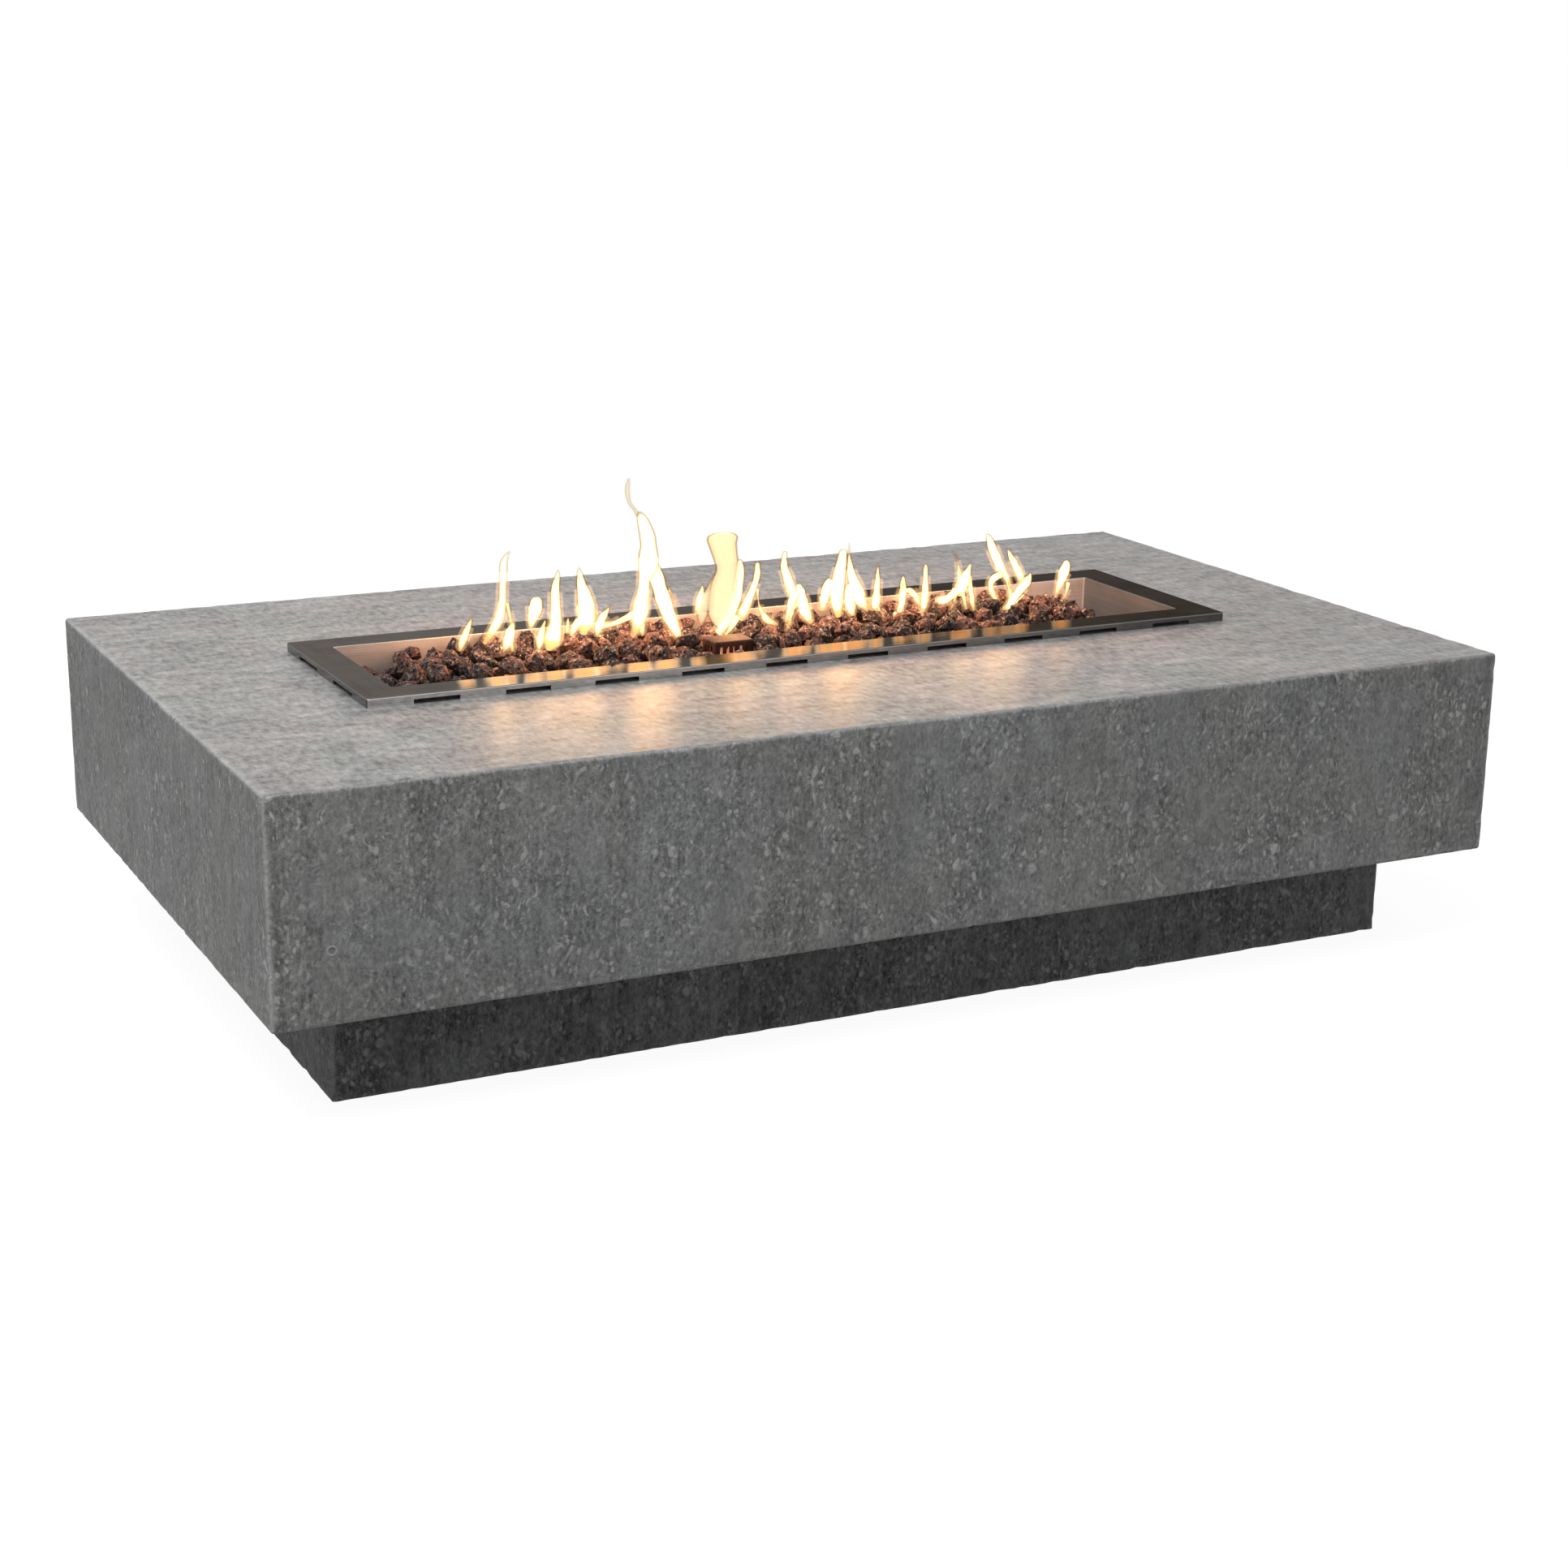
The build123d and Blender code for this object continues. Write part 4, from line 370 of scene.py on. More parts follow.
class Finish(Recipe):
    """A material under way, with short calls for the patterns that the finishes share."""

    def __init__(self, name, material=None):
        self.material = material or bpy.data.materials.new(name)
        super().__init__(self.material)
        self.shader = self.nodes["Principled BSDF"]
        self.place = self.nodes.new("ShaderNodeTexCoord").outputs["Object"]

    def surface(self, **values):
        """Sets the shader's own sockets, whose names are written with underscores."""
        for key, value in values.items():
            self.feed(self.shader.inputs[key.replace("_", " ")], value)

    def scaled(self, cycles):
        """Object coordinates in cycles per metre, the same on each axis or one number for each."""
        scale = (cycles,) * 3 if isinstance(cycles, (int, float)) else cycles
        return self.add("Mapping", {"Vector": self.place, "Scale": scale}).outputs[0]

    def grain(self, cycles, detail=3.0, roughness=0.55, distortion=0.0):
        """Cloudy noise from 0 to 1."""
        inputs = {"Vector": self.scaled(cycles), "Scale": 1.0, "Detail": detail, "Roughness": roughness,
                  "Distortion": distortion}
        return self.add("TexNoise", inputs).outputs[0]

    def bent(self, cycles, reach):
        """Object coordinates in cycles per metre, bent by a slow noise so that marks lean and curl."""
        slow = {"Vector": self.scaled(BEND_CYCLES), "Scale": 1.0, "Detail": 1.0}
        bend = self.add("TexNoise", slow).outputs["Color"]
        shifted = self.add("VectorMath", {0: bend, 1: (reach,) * 3, 2: self.place}, operation="MULTIPLY_ADD")
        return self.add("Mapping", {"Vector": shifted.outputs[0], "Scale": cycles}).outputs[0]

    def cells(self, cycles, bend=0.0):
        """Scattered points: the distance from the nearest one, and that point's own random number."""
        place = self.bent(cycles, bend) if bend else self.scaled(cycles)
        points = self.add("TexVoronoi", {"Vector": place, "Scale": 1.0})
        return points.outputs["Distance"], self.axis(points.outputs["Color"], "X")

    def spots(self, cycles, size, kept, bend=0.0):
        """Scattered spots, 1 inside and 0 outside, on a share of the points."""
        distance, number = self.cells(cycles, bend)
        return self.times(self.band(distance, size, size * 0.5), self.math("LESS_THAN", number, kept))

    def rings(self, cycles, size, kept):
        """Scattered round holes, on a share of the points: the rim of each and the hole inside it."""
        distance, number = self.cells(cycles)
        chosen = self.math("LESS_THAN", number, kept)
        inside = self.band(distance, size, size * 0.85)
        hole = self.band(distance, size * 0.75, size * 0.55)
        rim = self.times(self.math("SUBTRACT", inside, hole), chosen)
        return rim, self.times(hole, chosen)

    def total(self, middle, *parts):
        """Adds up noises, each by how far it is from its own middle and by its weight."""
        for value, weight in parts:
            middle = self.add("Math", {0: self.math("SUBTRACT", value, 0.5), 1: weight, 2: middle},
                              operation="MULTIPLY_ADD").outputs[0]
        return middle

    def band(self, value, start, end, low=0.0, high=1.0):
        """Carries a value smoothly from low at start to high at end."""
        inputs = {0: value, 1: start, 2: end, 3: low, 4: high}
        return self.add("MapRange", inputs, interpolation_type="SMOOTHSTEP").outputs[0]

    def math(self, operation, first, second=0.0):
        """One step of arithmetic."""
        return self.add("Math", {0: first, 1: second}, operation=operation).outputs[0]

    def times(self, first, second):
        """Multiplies two numbers."""
        return self.math("MULTIPLY", first, second)

    def mix(self, factor, first, second, mode="MIX"):
        """Mixes two colours."""
        return self.add("Mix", {0: factor, 6: first, 7: second}, data_type="RGBA", blend_type=mode).outputs[2]

    def tinted(self, shade, *tints):
        """A colour multiplied by other colours or by numbers."""
        for tint in tints:
            shade = self.mix(1.0, shade, tint, "MULTIPLY")
        return shade

    def axis(self, vector, name):
        """One part of a vector, X, Y or Z."""
        return self.add("SeparateXYZ", {0: vector}).outputs[name]

    def apart(self, name, middle=0.0):
        """How far a point is from a plane across an axis, X, Y or Z."""
        return self.math("ABSOLUTE", self.math("SUBTRACT", self.axis(self.place, name), middle))

    def facing(self, name):
        """How far the bare surface faces along an axis, X, Y or Z."""
        return self.axis(self.nodes.new("ShaderNodeNewGeometry").outputs["Normal"], name)

    def bump(self, height, distance):
        """Gives the shader a bumpy surface."""
        made = self.add("Bump", {"Height": height, "Distance": distance})
        self.links.new(made.outputs[0], self.shader.inputs["Normal"])


def rgb(values, factor=1.0):
    """A colour with its alpha, made lighter or darker by a factor."""
    return tuple(value * factor for value in values) + (1.0,)


def cast_side(finish, base, fleck, contrast):
    """Shade and height of a cast side: clouded, with light marks and pits in clusters, smooth between; pit
    rims get a painted highlight and pit insides painted shade.
    """
    clouds = finish.grain(5.0, detail=4.0, roughness=0.6)
    mottle = finish.grain((34.0, 34.0, 24.0), detail=4.0, roughness=0.65, distortion=0.5)
    runs = finish.grain((90.0, 90.0, 4.0), roughness=0.6, distortion=0.5)
    grit = finish.grain((260.0, 260.0, 150.0), roughness=0.7)
    clusters = finish.grain((12.0, 12.0, 9.0), detail=4.0, roughness=0.65)
    clusters = finish.band(clusters, 0.34, 0.64, low=0.20, high=1.0)
    coarse = finish.band(clusters, 0.0, 1.0, low=1.2 * contrast, high=2.4 * contrast)
    rough = finish.times(finish.math("SUBTRACT", grit, 0.5), coarse)
    even = finish.total(1.0, (clouds, 0.7 * contrast), (mottle, 0.9 * contrast), (runs, 0.6 * contrast))
    tone = finish.math("ADD", rough, even)
    hue = finish.band(finish.grain(8.0), 0.40, 0.60)
    tint = finish.mix(hue, rgb((1.012, 1.0, 0.985)), rgb((0.988, 1.0, 1.004)))
    shade = finish.tinted(rgb(base), tint, tone)
    specks = finish.times(finish.spots((190.0, 190.0, 120.0), size=0.44, kept=0.50, bend=0.016), 0.65)
    marks = finish.spots((100.0, 100.0, 32.0), size=0.34, kept=0.30, bend=0.030)
    flecks = finish.spots((80.0, 80.0, 60.0), size=0.30, kept=0.45, bend=0.016)
    dark = finish.spots((170.0, 170.0, 100.0), size=0.42, kept=0.30, bend=0.018)
    # The holes' rims are lightened as a painted highlight, and their insides are darkened as painted shade.
    rim, hole = finish.rings(20.0, size=0.13, kept=0.05)
    light = finish.math("MAXIMUM", finish.math("MAXIMUM", marks, flecks), specks)
    light = finish.math("MAXIMUM", finish.times(light, clusters), finish.times(rim, 0.6))
    deep = finish.math("MAXIMUM", finish.times(dark, clusters), hole)
    shade = finish.mix(finish.times(deep, 0.40), shade, rgb(base, 0.45))
    shade = finish.mix(finish.times(light, 0.85), shade, rgb(fleck))
    height = finish.total(0.0, (rough, 1.0), (mottle, 0.4), (light, 0.6), (deep, -0.8))
    return shade, height


def trowelled_top(finish, base):
    """Shade and height of a trowelled top: short streaks along it, tinted patches, and fine light lines
    across it in line with the pan's ends.
    """
    streaks = finish.grain((24.0, 70.0, 70.0), detail=4.0, roughness=0.65, distortion=0.4)
    patches = finish.grain(8.0, detail=4.0, roughness=0.6)
    grit = finish.grain((130.0, 60.0, 100.0), roughness=0.7)
    sweeps = finish.grain((18.0, 34.0, 34.0), roughness=0.6, distortion=0.4)
    tone = finish.total(1.0, (streaks, 1.5), (sweeps, 1.0), (patches, 0.7), (grit, 2.4))
    hue = finish.band(finish.grain(11.0, detail=2.0), 0.42, 0.58)
    tint = finish.mix(hue, rgb((1.03, 0.99, 0.985)), rgb((0.97, 1.0, 0.985)))
    shade = finish.tinted(rgb(base), tint, tone)
    # Fine light lines across the top, in line with the pan's ends.
    from_pan_end = finish.math("SUBTRACT", finish.apart("X"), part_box("burner_pan")[1].x)
    light_line = finish.band(finish.math("ABSOLUTE", from_pan_end), 0.0016, 0.0004)
    shade = finish.mix(finish.times(light_line, 0.45), shade, rgb(base, 1.5))
    height = finish.total(0.0, (streaks, 0.16), (grit, 0.20))
    return shade, height


def concrete(name, side, top, fleck, contrast=1.0):
    """Cast concrete with rough sides, pale edges that are partly wear and partly a painted highlight, and a
    sealed, trowelled top.
    """
    finish = Finish(name)
    up = finish.band(finish.facing("Z"), 0.55, 0.90)
    side_shade, side_height = cast_side(finish, side, fleck, contrast)
    top_shade, top_height = trowelled_top(finish, top)
    # On the block, the sides' lighter colour is painted light.
    shade = finish.mix(up, side_shade, top_shade)
    edge = finish.add("Attribute", {}, attribute_name="edge").outputs["Fac"]
    # Pale line along the edges: partly wear, partly a painted highlight.
    shade = finish.mix(finish.math("POWER", edge, WEAR_AND_HIGHLIGHT_FALLOFF), shade, rgb(side, WEAR_AND_HIGHLIGHT_GAIN))
    finish.surface(Base_Color=shade, Specular_IOR_Level=0.26)
    sealed = finish.band(top_height, 0.12, 0.24, low=0.38, high=0.52)
    finish.surface(Roughness=finish.add("Mix", {0: up, 2: 0.72, 3: sealed}).outputs[0])
    finish.bump(finish.mix(up, side_height, top_height), distance=0.0012)
    return finish.material


def brushed_steel(name, settings):
    """Sheet steel brushed along each folded strip: a bright tray, and painted shade on the flange, darker to
    the right, on its lip and on the tray's ends.
    """
    finish = Finish(name)
    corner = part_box("burner_pan")[1]
    beside = finish.math("SUBTRACT", finish.apart("X"), corner.x)
    ahead = finish.math("SUBTRACT", finish.apart("Y"), corner.y)
    on_end = finish.math("GREATER_THAN", beside, ahead)
    lengthwise = finish.grain((3.0, 900.0, 900.0), detail=2.0)
    crosswise = finish.grain((900.0, 3.0, 900.0), detail=2.0)
    lines = finish.mix(on_end, lengthwise, crosswise)
    smudge = finish.grain(14.0, detail=4.0, roughness=0.6)
    on_lip = finish.math("GREATER_THAN", finish.math("MAXIMUM", beside, ahead), -LIP_DEPTH)
    on_top = finish.math("GREATER_THAN", finish.axis(finish.place, "Z"), corner.z - FLANGE_SKIN)
    outside = finish.math("MAXIMUM", on_lip, on_top)
    end_wall = finish.band(finish.math("ABSOLUTE", finish.facing("X")), 0.5, 0.8)
    # The flange gets darker towards its right-hand end: painted shade.
    along = finish.band(finish.axis(finish.place, "X"), -corner.x, corner.x)
    painted_fade = finish.band(along, 0.0, 1.0, low=1.0, high=settings.fade)
    # Ends darker and bluer than the walls: painted shade.
    tray = finish.mix(end_wall, rgb(settings.wall_colour), rgb(settings.end_shade_colour))
    # The lip is darker on its ends and towards its right-hand end: painted shade.
    dark = finish.math("MAXIMUM", end_wall, along)
    lip = finish.mix(dark, rgb(settings.lip_colour), rgb(settings.lip_end_shade_colour))
    flange = finish.tinted(rgb(settings.flange_shade_colour), painted_fade)
    base = finish.mix(on_top, finish.mix(on_lip, tray, lip), flange)
    shade = finish.tinted(base, finish.total(1.0, (lines, 0.7), (smudge, 0.8)))
    heat = finish.times(finish.band(smudge, 0.50, 0.80), 0.5)
    # The flange's gloss is dimmed with the same painted shade.
    gloss = finish.mix(on_top, rgb(WHITE), finish.tinted(rgb(settings.edge_tint), painted_fade))
    scaled = finish.band(end_wall, 0.0, 1.0, low=0.55, high=0.20)
    worn = finish.total(0.5, (lines, 0.6), (smudge, 0.4))
    polish = finish.band(worn, 0.3, 0.7, low=settings.polish * 0.7, high=settings.polish * 1.4)
    scaling = finish.band(outside, 0.0, 1.0, low=settings.scaling, high=0.0)
    finish.surface(Base_Color=finish.mix(heat, shade, rgb(settings.straw_colour)), Specular_Tint=gloss)
    finish.surface(Metallic=finish.math("MAXIMUM", scaled, outside))
    finish.surface(Roughness=finish.math("ADD", polish, scaling))
    finish.bump(lines, distance=0.00006)
    return finish.material


def burnt_steel(name, base):
    """Thin steel browned and blued by the fire, with a little scale."""
    finish = Finish(name)
    bloom = finish.grain(60.0, detail=4.0, roughness=0.6)
    scale = finish.grain(500.0, roughness=0.7)
    shade = finish.mix(finish.band(bloom, 0.35, 0.65), rgb(base, 0.55), rgb(base, 1.35))
    shade = finish.mix(finish.band(scale, 0.55, 0.75), shade, rgb(base, 0.35))
    finish.surface(Base_Color=shade, Metallic=0.5)
    finish.surface(Roughness=finish.band(scale, 0.3, 0.7, low=0.50, high=0.75))
    finish.bump(scale, distance=0.0002)
    return finish.material


def plain_metal(name, base, roughness, cycles, depth):
    """Drawn, turned or plated metal, with tool marks and handling that vary its shade and gloss."""
    finish = Finish(name)
    marks = finish.grain(cycles, roughness=0.6)
    cloud = finish.grain(40.0)
    finish.surface(Base_Color=finish.mix(cloud, rgb(base, 0.80), rgb(base, 1.15)), Metallic=1.0)
    finish.surface(Roughness=finish.band(marks, 0.3, 0.7, low=roughness * 0.75, high=roughness * 1.3))
    finish.bump(marks, distance=depth)
    return finish.material


def moulded_plastic(name, base, roughness, cycles, depth):
    """Moulded plastic or rubber with a fine leathery texture and slightly shiny worn places."""
    finish = Finish(name)
    skin = finish.grain(cycles, detail=2.0, roughness=0.6)
    handled = finish.grain(55.0)
    finish.surface(Base_Color=finish.mix(handled, rgb(base, 0.85), rgb(base, 1.25)))
    finish.surface(Roughness=finish.band(handled, 0.35, 0.65, low=roughness * 0.85, high=roughness * 1.15))
    finish.bump(skin, distance=depth)
    return finish.material


def pointed_knob(name, base, pointer):
    """The knob's plastic, with a painted line on its outer face that points up when the gas is off."""
    material = moulded_plastic(name, base, *KNOB_SKIN)
    finish = Finish(name, material)
    low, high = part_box("control_knob")
    middle = (low + high) / 2
    aside = finish.apart("Y", middle.y)
    rise = finish.math("SUBTRACT", finish.axis(finish.place, "Z"), middle.z)
    line = finish.times(finish.math("LESS_THAN", aside, POINTER_HALF),
                        finish.band(rise, POINTER_START, POINTER_START + POINTER_HALF))
    line = finish.times(line, finish.band(finish.facing("X"), 0.75, 0.90))
    plain = finish.shader.inputs["Base Color"].links[0].from_socket
    finish.surface(Base_Color=finish.mix(line, plain, rgb(pointer)))
    return material


def fired_ceramic(name, base):
    """Unglazed ceramic with fine grain and a warm stain."""
    finish = Finish(name)
    stain = finish.grain(90.0)
    finish.surface(Base_Color=finish.mix(stain, rgb(base), rgb(base, 0.72)), Roughness=0.7)
    finish.bump(finish.grain(900.0, detail=2.0), distance=0.0001)
    return finish.material


def lava_rock(name, black, red, ash_and_highlight):
    """Porous lava rock: each rock has its own tint, with open pores darkened as painted shade, and light high
    spots that are partly ash and partly a painted highlight.
    """
    finish = Finish(name)
    tint = finish.add("Attribute", {}, attribute_name="tint").outputs["Fac"]
    blotch = finish.grain(95.0, detail=4.0, roughness=0.65)
    crumb = finish.grain(260.0, detail=4.0, roughness=0.7)
    redness = finish.band(finish.total(0.5, (tint, 0.6), (blotch, 1.1)), 0.2, 0.8)
    shade = finish.mix(redness, rgb(black), rgb(red))
    # Light high spots: partly ash, partly a painted highlight.
    dusty_and_lit = finish.times(finish.band(crumb, 0.52, 0.66), 0.75)
    shade = finish.mix(dusty_and_lit, shade, rgb(ash_and_highlight))
    # Pores darkened below the darkest rock's colour: painted shade in the holes.
    pores = finish.band(finish.cells(170.0)[0], 0.42, 0.18)
    shade = finish.mix(finish.times(pores, 0.95), shade, rgb(black, 0.25))
    finish.surface(Base_Color=shade, Roughness=0.85, Specular_IOR_Level=0.35)
    finish.bump(finish.total(0.0, (crumb, 1.2), (blotch, 0.8), (pores, -1.0)), distance=0.0022)
    return finish.material


def dress(material, *nodes):
    """Gives CAD nodes a material in place of the plain one that they came with."""
    for node in nodes:
        slots = frame["nodes"][node].data.materials
        slots.clear()
        slots.append(material)


def nodes_in_slot(slot):
    """The CAD nodes that share a material slot of the record."""
    return [node for node in sorted(SLOT_OF) if SLOT_OF[node] == slot]


def merged_copy(node):
    """A copy of a CAD node's mesh, with the corners of its triangles merged."""
    form = bmesh.new()
    form.from_mesh(frame["nodes"][node].data)
    bmesh.ops.remove_doubles(form, verts=form.verts, dist=MERGE)
    return form


def new_object(form, name, material):
    """Turns a bmesh into an object of the scene, at the origin."""
    mesh = bpy.data.meshes.new(name)
    form.to_mesh(mesh)
    form.free()
    stale = mesh.attributes.get("custom_normal")
    if stale:
        mesh.attributes.remove(stale)
    mesh.materials.clear()
    mesh.materials.append(material)
    made = bpy.data.objects.new(name, mesh)
    bpy.context.scene.collection.objects.link(made)
    return made


def stand_for(piece, node):
    """Puts a piece in the place of a CAD node, on that node's body, and hides the node."""
    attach(piece, frame["nodes"][node]["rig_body"])
    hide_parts(node)


def limits(form):
    """Lowest and highest corner of a bmesh."""
    corners = [vert.co for vert in form.verts]
    low = Vector(min(corner[axis] for corner in corners) for axis in range(3))
    high = Vector(max(corner[axis] for corner in corners) for axis in range(3))
    return low, high


def below_faces(vert, low, high):
    """How deep a corner lies under the nearer face of a box, along each axis."""
    return [min(at - start, end - at) for at, start, end in zip(vert.co, low, high)]


def cut_across(form, parts, place, axis):
    """Cuts parts of a form along a plane across an axis, and returns them with what the cut added."""
    across = Vector((0.0, 0.0, 0.0))
    across[axis] = 1.0
    return bmesh.ops.bisect_plane(form, geom=parts, dist=MERGE, plane_co=place, plane_no=across)["geom"]


def cut_edge_strips(form, reach, cell):
    """Cuts strips along the outer edges of a cast block, and then the strips into cells."""
    bmesh.ops.dissolve_limit(form, angle_limit=FLAT, verts=form.verts, edges=form.edges)
    low, high = limits(form)
    inset = Vector((reach, reach, reach))
    for axis in range(3):
        for corner in (low + inset, high - inset):
            cut_across(form, form.verts[:] + form.edges[:] + form.faces[:], corner, axis)
    for axis in range(3):
        beside = [other for other in range(3) if other != axis]
        near = {vert for vert in form.verts
                if all(below_faces(vert, low, high)[other] < reach + MERGE for other in beside)}
        strips = [face for face in form.faces if near.issuperset(face.verts)]
        rims = {edge for face in strips for edge in face.edges}
        parts = [*{vert for edge in rims for vert in edge.verts}, *rims, *strips]
        steps = round((high[axis] - low[axis]) / cell)
        for step in range(1, steps):
            parts = cut_across(form, parts, low.lerp(high, step / steps), axis)


def wear_edges(form, settings):
    """Wears a cast block's outer edges, some places more than others, and marks where they are pale, partly
    from wear and partly as a painted highlight.
    """
    low, high = limits(form)
    middle = (low + high) / 2
    pale = form.verts.layers.float.new("edge")
    for vert in form.verts:
        below = below_faces(vert, low, high)
        nearest = sorted(range(3), key=below.__getitem__)[:2]
        from_edge = below[nearest[1]]
        if from_edge >= settings.wear_reach:
            continue
        chip = max(0.0, noise.fractal(vert.co * CHIP_CYCLES, 1.0, 2.0, 3))
        chip = min(chip + FINE_CHIPS * abs(noise.noise(vert.co * FINE_CHIP_CYCLES)), 1.0)
        # How pale an edge is follows its direction, as a painted highlight does; chips add wear along level
        # edges.
        wear_and_highlight_share = settings.wear_and_highlight_upright
        if 2 in nearest:
            wear_and_highlight_share = (settings.wear_and_highlight_ends if 0 in nearest else settings.wear_and_highlight_front) + WEAR_AND_HIGHLIGHT_CHIPS * chip
        vert[pale] = max(0.0, 1.0 - from_edge / settings.wear_and_highlight_width) * wear_and_highlight_share
        for axis in nearest:
            inward = math.copysign(1.0, middle[axis] - vert.co[axis])
            closeness = 1.0 - from_edge / settings.wear_reach
            vert.co[axis] += inward * settings.wear_depth * closeness * chip


def smooth_shading(piece, crease):
    """Shades a piece smoothly, with edges sharper than the crease left sharp."""
    piece.data.shade_smooth()
    piece.data.set_sharp_from_angle(angle=crease)


class FIREPIT_OT_cast_concrete(bpy.types.Operator):
    """Make the worn concrete block and plinth"""

    bl_idname = "fire_pit.cast_concrete"
    bl_label = "Concrete Block and Plinth"

    def execute(self, context):
        settings = context.scene.fire_pit_concrete
        block = concrete("sealed_concrete", settings.side_colour, settings.top_colour, settings.fleck_colour)
        # The plinth's darker colour is painted shade under the block.
        plinth = concrete("plinth_concrete", settings.shaded_plinth_colour, settings.shaded_plinth_colour,
                          settings.plinth_fleck_colour, settings.plinth_contrast)
        pieces = (("table_body", "concrete_block", block), ("plinth", "concrete_plinth", plinth))
        for node, name, material in pieces:
            dress(material, node)
            form = merged_copy(node)
            cut_edge_strips(form, settings.wear_reach, settings.cell)
            wear_edges(form, settings)
            piece = new_object(form, name, material)
            smooth_shading(piece, settings.crease)
            piece.modifiers.new("even_shading", "WEIGHTED_NORMAL").keep_sharp = True
            stand_for(piece, node)
        return {"FINISHED"}


class FIREPIT_OT_finish_burner(bpy.types.Operator):
    """Give the burner pan, the burner tube and the igniter cage their steel"""

    bl_idname = "fire_pit.finish_burner"
    bl_label = "Burner Steel"

    def execute(self, context):
        settings = context.scene.fire_pit_burner
        dress(brushed_steel("pan_steel", settings), "burner_pan")
        burnt = burnt_steel("burnt_steel", settings.burnt_colour)
        dress(burnt, *BURNT_NODES, *nodes_in_slot("heat_tinted_steel"))
        dress(fired_ceramic("insulator_ceramic", settings.ceramic_colour), *nodes_in_slot("white_ceramic"))
        return {"FINISHED"}


class FIREPIT_OT_fill_lava_rock(bpy.types.Operator):
    """Fill the pan with lumpy, porous lava rock"""

    bl_idname = "fire_pit.fill_lava_rock"
    bl_label = "Lava Rock"

    def execute(self, context):
        settings = context.scene.fire_pit_rock
        material = lava_rock("lava_rock", settings.black_colour, settings.red_colour, settings.ash_and_highlight_colour)
        draw = random.Random(settings.seed)
        for node in nodes_in_slot("lava_rock"):
            dress(material, node)
            form = merged_copy(node)
            self.tint_rocks(form, draw)
            self.roughen_rocks(form, settings)
            piece = new_object(form, node + "_lumpy", material)
            smooth_shading(piece, settings.crease)
            stand_for(piece, node)
        return {"FINISHED"}

    @staticmethod
    def tint_rocks(form, draw):
        """Gives each rock, which is one island of the mesh, a random tint from 0 to 1."""
        tint = form.verts.layers.float.new("tint")
        waiting = set(form.verts)
        for start in form.verts:
            if start not in waiting:
                continue
            waiting.discard(start)
            reached = [start]
            shade = draw.random()
            while reached:
                vert = reached.pop()
                vert[tint] = shade
                beside = [edge.other_vert(vert) for edge in vert.link_edges]
                fresh = [other for other in beside if other in waiting]
                waiting.difference_update(fresh)
                reached.extend(fresh)

    @staticmethod
    def roughen_rocks(form, settings):
        """Divides the facets once and pushes them into lumps and hollows."""
        bmesh.ops.subdivide_edges(form, edges=form.edges[:], cuts=1, use_grid_fill=True)
        form.normal_update()
        for vert in form.verts:
            lump = noise.fractal(vert.co / settings.lump_size, 0.8, 2.2, 3)
            vert.co += vert.normal * (lump - LUMP_SINK) * settings.lump_depth


class FIREPIT_OT_finish_fittings(bpy.types.Operator):
    """Give the controls, the gas line and the fixings their finishes"""

    bl_idname = "fire_pit.finish_fittings"
    bl_label = "Controls and Gas Line"

    def execute(self, context):
        settings = context.scene.fire_pit_fittings
        panel = ("control_box", "knob_bezel", "igniter_collar")
        fixings = [node for node in nodes_in_slot("zinc_steel") if node not in BURNT_NODES]
        brass = nodes_in_slot("brass")
        tubes = nodes_in_slot("aluminium_tube")
        metals = (
            ("panel_steel", settings.panel_colour, 0.30, (900.0, 4.0, 900.0), 0.00005, panel),
            ("zinc_plate", settings.zinc_colour, 0.34, 180.0, 0.00005, fixings),
            ("turned_brass", settings.brass_colour, 0.28, (260.0, 260.0, 1800.0), 0.00004, brass),
            ("drawn_aluminium", settings.tube_colour, 0.30, 240.0, 0.00004, tubes),
            ("bare_copper", settings.copper_colour, 0.34, 300.0, 0.00004, nodes_in_slot("copper_lead")),
        )
        plastics = (
            ("housing_plastic", settings.knob_colour, *KNOB_SKIN, nodes_in_slot("black_plastic")),
            ("button_plastic", settings.button_colour, 0.24, 700.0, 0.00002, nodes_in_slot("button_plastic")),
            ("lead_sleeve", settings.sleeve_colour, 0.58, 900.0, 0.00008, nodes_in_slot("lead_rubber")),
            ("battery_wrap", settings.wrap_colour, 0.36, 400.0, 0.00003, nodes_in_slot("battery_wrap")),
        )
        for finish, rows in ((plain_metal, metals), (moulded_plastic, plastics)):
            for name, base, roughness, cycles, depth, nodes in rows:
                dress(finish(name, base, roughness, cycles, depth), *nodes)
        dress(pointed_knob("knob_plastic", settings.knob_colour, settings.pointer_colour), "control_knob")
        return {"FINISHED"}


def burning_gas(name, absorbed, density, given, strength):
    """A clear volume that takes up some light and gives some out."""
    material = bpy.data.materials.new(name)
    gas = Recipe(material)
    gas.nodes.remove(gas.nodes["Principled BSDF"])
    soot = gas.add("VolumeAbsorption", {"Color": rgb(absorbed), "Density": density})
    light = gas.add("Emission", {"Color": rgb(given), "Strength": strength})
    gas.show("Material Output", "Volume", gas.add("AddShader", {0: soot.outputs[0], 1: light.outputs[0]}))
    return material


